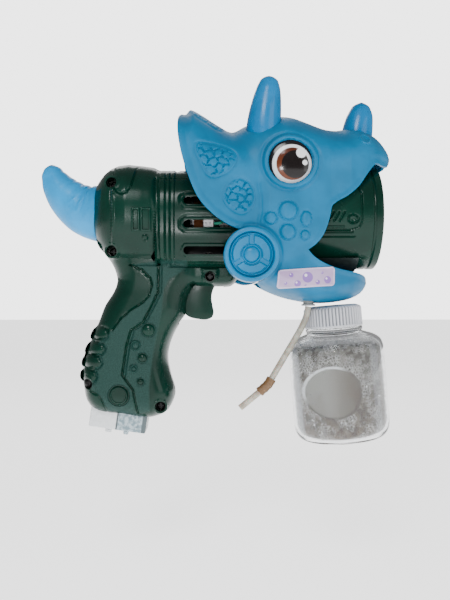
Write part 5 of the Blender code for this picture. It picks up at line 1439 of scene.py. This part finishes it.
makeTrigger()
for number, (x, z) in enumerate(housing["screws"]):
    profile = points((0, 10.0), (0.5, 9.9), (1.4, 8.6), (1.4, -8.8), (2.6, -8.8), (2.7, -9.4),
                     (2.6, -10.4), (2.1, -11.2), (1.2, -11.6), (0, -11.7))
    screw = spun(f"shellScrew{number + 1}", profile, black, 40,
                 Matrix.Translation((x, 0, z)) @ standY)
    for wide, tall in ((3.6, 0.8), (0.8, 3.6)):      # the cross in the head
        cut(screw, block((x - wide / 2 * mm, -12.2 * mm, z - tall / 2 * mm),
                         (x + wide / 2 * mm, -10.4 * mm, z + tall / 2 * mm)))
    stands(shadeRound(faceOut(screw), 35), "housing", "black_steel", f"shell_screw_{number + 1}")
print("trigger and screws made")


# ---- battery tray

def makeTray():
    halfX, halfY, tall = 17.8 * mm, 9.6 * mm, 62 * mm
    piece = block((-halfX, -halfY, 0), (halfX, halfY, tall), 0.9 * mm)
    piece.name = "batteryTray"
    wallX, wallY = 1.5 * mm, 1.3 * mm
    cut(piece, block((-halfX + wallX, -halfY + wallY, 3 * mm), (halfX - wallX, halfY - wallY, 70 * mm)))
    for low, high in ((-8, -4), (3.6, 6.8)):         # two hooks under the foot
        hook = block((low * mm, -3 * mm, -3.4 * mm), (high * mm, 1 * mm, 0.6 * mm), 0.8 * mm)
        cut(piece, hook, 'UNION')
        eyelet = block(((low + 1.2) * mm, -6 * mm, -1.6 * mm), ((high - 1.0) * mm, 6 * mm, -0.5 * mm), 0.3 * mm)
        cut(piece, eyelet)
    for at in (-0.4, 12.6):                          # mould seam and side rib
        cut(piece, block(((at - 0.25) * mm, -12 * mm, -1 * mm), ((at + 0.25) * mm, -9.2 * mm, 58 * mm)))
    for level in (14, 30, 46):
        cut(piece, block((-20 * mm, -12 * mm, level * mm), (20 * mm, -9.3 * mm, (level + 0.6) * mm)))
    piece.data.materials.clear()
    piece.data.materials.append(silver.material)
    piece.data.transform(trayPlace)
    stands(shadeRound(faceOut(piece), 35), "battery_tray", "tray_silver", "battery_tray")


makeTray()
print("tray made")


# ---- bottle, cap and liquid

bottle = {"top": (129.1 * mm, 0, 25.3 * mm), "lean": math.radians(-4.8), "radius": 29.0, "tall": 85.0,
          "capRadius": 18.3, "capTall": 13.5, "ribs": 52, "wide": 1.04}
bottlePlace = Matrix.Translation(bottle["top"]) @ Matrix.Rotation(bottle["lean"], 4, 'Y')
base = -bottle["tall"]


def makeBottle():
    outer = [(16.6, -3.6), (16.6, -14), (18, -14.2), (18, -16.2), (17, -17), (24, -19.8), (27.6, -22.6),
             (29, -27), (29, base + 9), (27.8, base + 4.2), (25.2, base + 1.2), (21, base), (16, base),
             (12, base + 1.1),
             (0, base + 1.4)]
    inner = [(0, base + 2.4), (12, base + 2.1), (20.4, base + 1.6), (24.2, base + 2.6), (26.8, base + 5.2),
             (28.0, base + 9.4), (28.0, -27.4), (26.6, -23.6), (23.2, -21.1), (15.4, -18), (15.4, -3.6)]
    profile = [(r * mm * (bottle["wide"] if r > 18.5 else 1), h * mm) for r, h in outer + inner]
    piece = spun("bottleWall", fillet(profile, 3 * mm), wall, 128, bottlePlace)
    stands(shadeRound(piece, 45), "bottle", "clear_plastic", "bottle")


def makeLiquid():
    profile = [(0, -24.2), (12, -24.4), (20, -24.0), (25.2, -25), (27.0, -28.5), (27.3, -40),
               (27.3, base + 9.6), (26.0, base + 5.8), (23.8, base + 3.4), (20.2, base + 2.4),
               (12, base + 2.9), (0, base + 3.2)]
    profile = [(r * mm * bottle["wide"], h * mm) for r, h in profile]
    piece = spun("bubbleLiquid", fillet(profile, 2 * mm), liquid, 96, bottlePlace)
    stands(shadeRound(piece, 45), "bubble_liquid", "froth", "bubble_liquid")


def makeFroth():
    # Old froth: small bubbles on the wall, crowded at the shoulder
    dice = np.random.default_rng(21)
    verts, faces = [], []
    shoulder, foot = -28, base + 9                   # heights where the straight wall ends
    deselectAll()
    bpy.ops.mesh.primitive_ico_sphere_add(subdivisions=1, radius=1)
    seed = bpy.context.active_object
    shape = [tuple(v.co) for v in seed.data.vertices]
    sides = [tuple(p.vertices) for p in seed.data.polygons]
    bpy.data.objects.remove(seed, do_unlink=True)
    for number in range(650):
        angle = dice.uniform(0, 2 * math.pi)
        height = -22 - 60 * dice.uniform(0, 1) ** 1.25
        if math.hypot((angle - 1.5 * math.pi) * 27 + 1.0, height + 53) < 17.5:
            continue                                 # none over the big air bubble
        size = dice.uniform(0.5, 1.1) + 1.6 * dice.uniform(0, 1) ** 8
        if height >= shoulder:
            reach = 27.5 - (height - shoulder) * 0.55 - size
        elif height <= foot:
            reach = 27.2 - (foot - height) * 0.45 - size
        else:
            reach = 27.55 - size * 0.55
        reach = reach * bottle["wide"] + (0.6 - size * 0.2 if height < shoulder else 0)
        spot = (reach * math.cos(angle) * mm, reach * math.sin(angle) * mm, height * mm)
        centre = bottlePlace @ Vector(spot)
        first = len(verts)
        verts += [tuple(centre + Vector(v) * size * mm * 0.8) for v in shape]
        faces += [tuple(first + k for k in side) for side in sides]
    mesh = bpy.data.meshes.new("froth")
    mesh.from_pydata(verts, [], faces)
    mesh.shade_smooth()
    piece = meshPiece("frothBubbles", mesh, film)
    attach(piece, "bubble_liquid")


def makeCap():
    radius, tall = bottle["capRadius"], bottle["capTall"]
    profile = [(0, 0), (radius - 3.5, 0), (radius - 2.6, -0.3), (radius - 1.1, -0.9), (radius - 0.5, -1.7)]
    profile += [(radius - 0.3, h) for h in np.linspace(-2.2, -tall + 1.3, 10)]
    profile += [(radius, -tall + 1.1), (radius, -tall), (radius - 1.3, -tall), (radius - 1.5, -2), (0, -1.8)]
    piece = spun("bottleCap", points(*profile), capWhite, bottle["ribs"] * 6, Matrix.Identity(4))
    places = vertexPlaces(piece)
    away = np.hypot(places[:, 0], places[:, 1]) / mm
    angle = np.arctan2(places[:, 1], places[:, 0])
    rib = np.abs(np.cos(angle * bottle["ribs"] / 2)) ** 0.7
    side = (away > radius - 0.6) & (places[:, 2] > (-tall + 1.2) * mm)
    lift = np.where(side, (rib - 0.75) * 1.3 * mm, 0)
    for vertex, out, r in zip(piece.data.vertices, lift, away):
        if out and r > 1:
            vertex.co.x *= 1 + out / (r * mm)
            vertex.co.y *= 1 + out / (r * mm)
    # the rib attribute marks the hollows between ribs, where the cap material paints shade
    paint(piece, "rib", np.where(side, 1 - fade(rib, 0.35, 0.85), 0))
    piece.data.transform(bottlePlace)
    faceOut(piece)
    stands(shadeRound(piece, 30), "bottle_cap", "white_plastic", "bottle_cap")


makeBottle()
makeLiquid()
makeFroth()
makeCap()
print("bottle made")


# ---- floor

low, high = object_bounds()
deselectAll()
bpy.ops.mesh.primitive_plane_add(size=12, location=(0, 0, low.z - 90 * mm))
floor = bpy.context.active_object
floor.name = "floor"
paper = Finish("paper", (0.90, 0.90, 0.90), 0.80, Emission_Color=(1, 1, 1, 1), Emission_Strength=1.8)
shade = paper.mix(paper.noise(6, 3), (0.89, 0.89, 0.89, 1), (0.91, 0.91, 0.91, 1))
paper.feed("Base Color", shade)
floor.data.materials.append(paper.material)
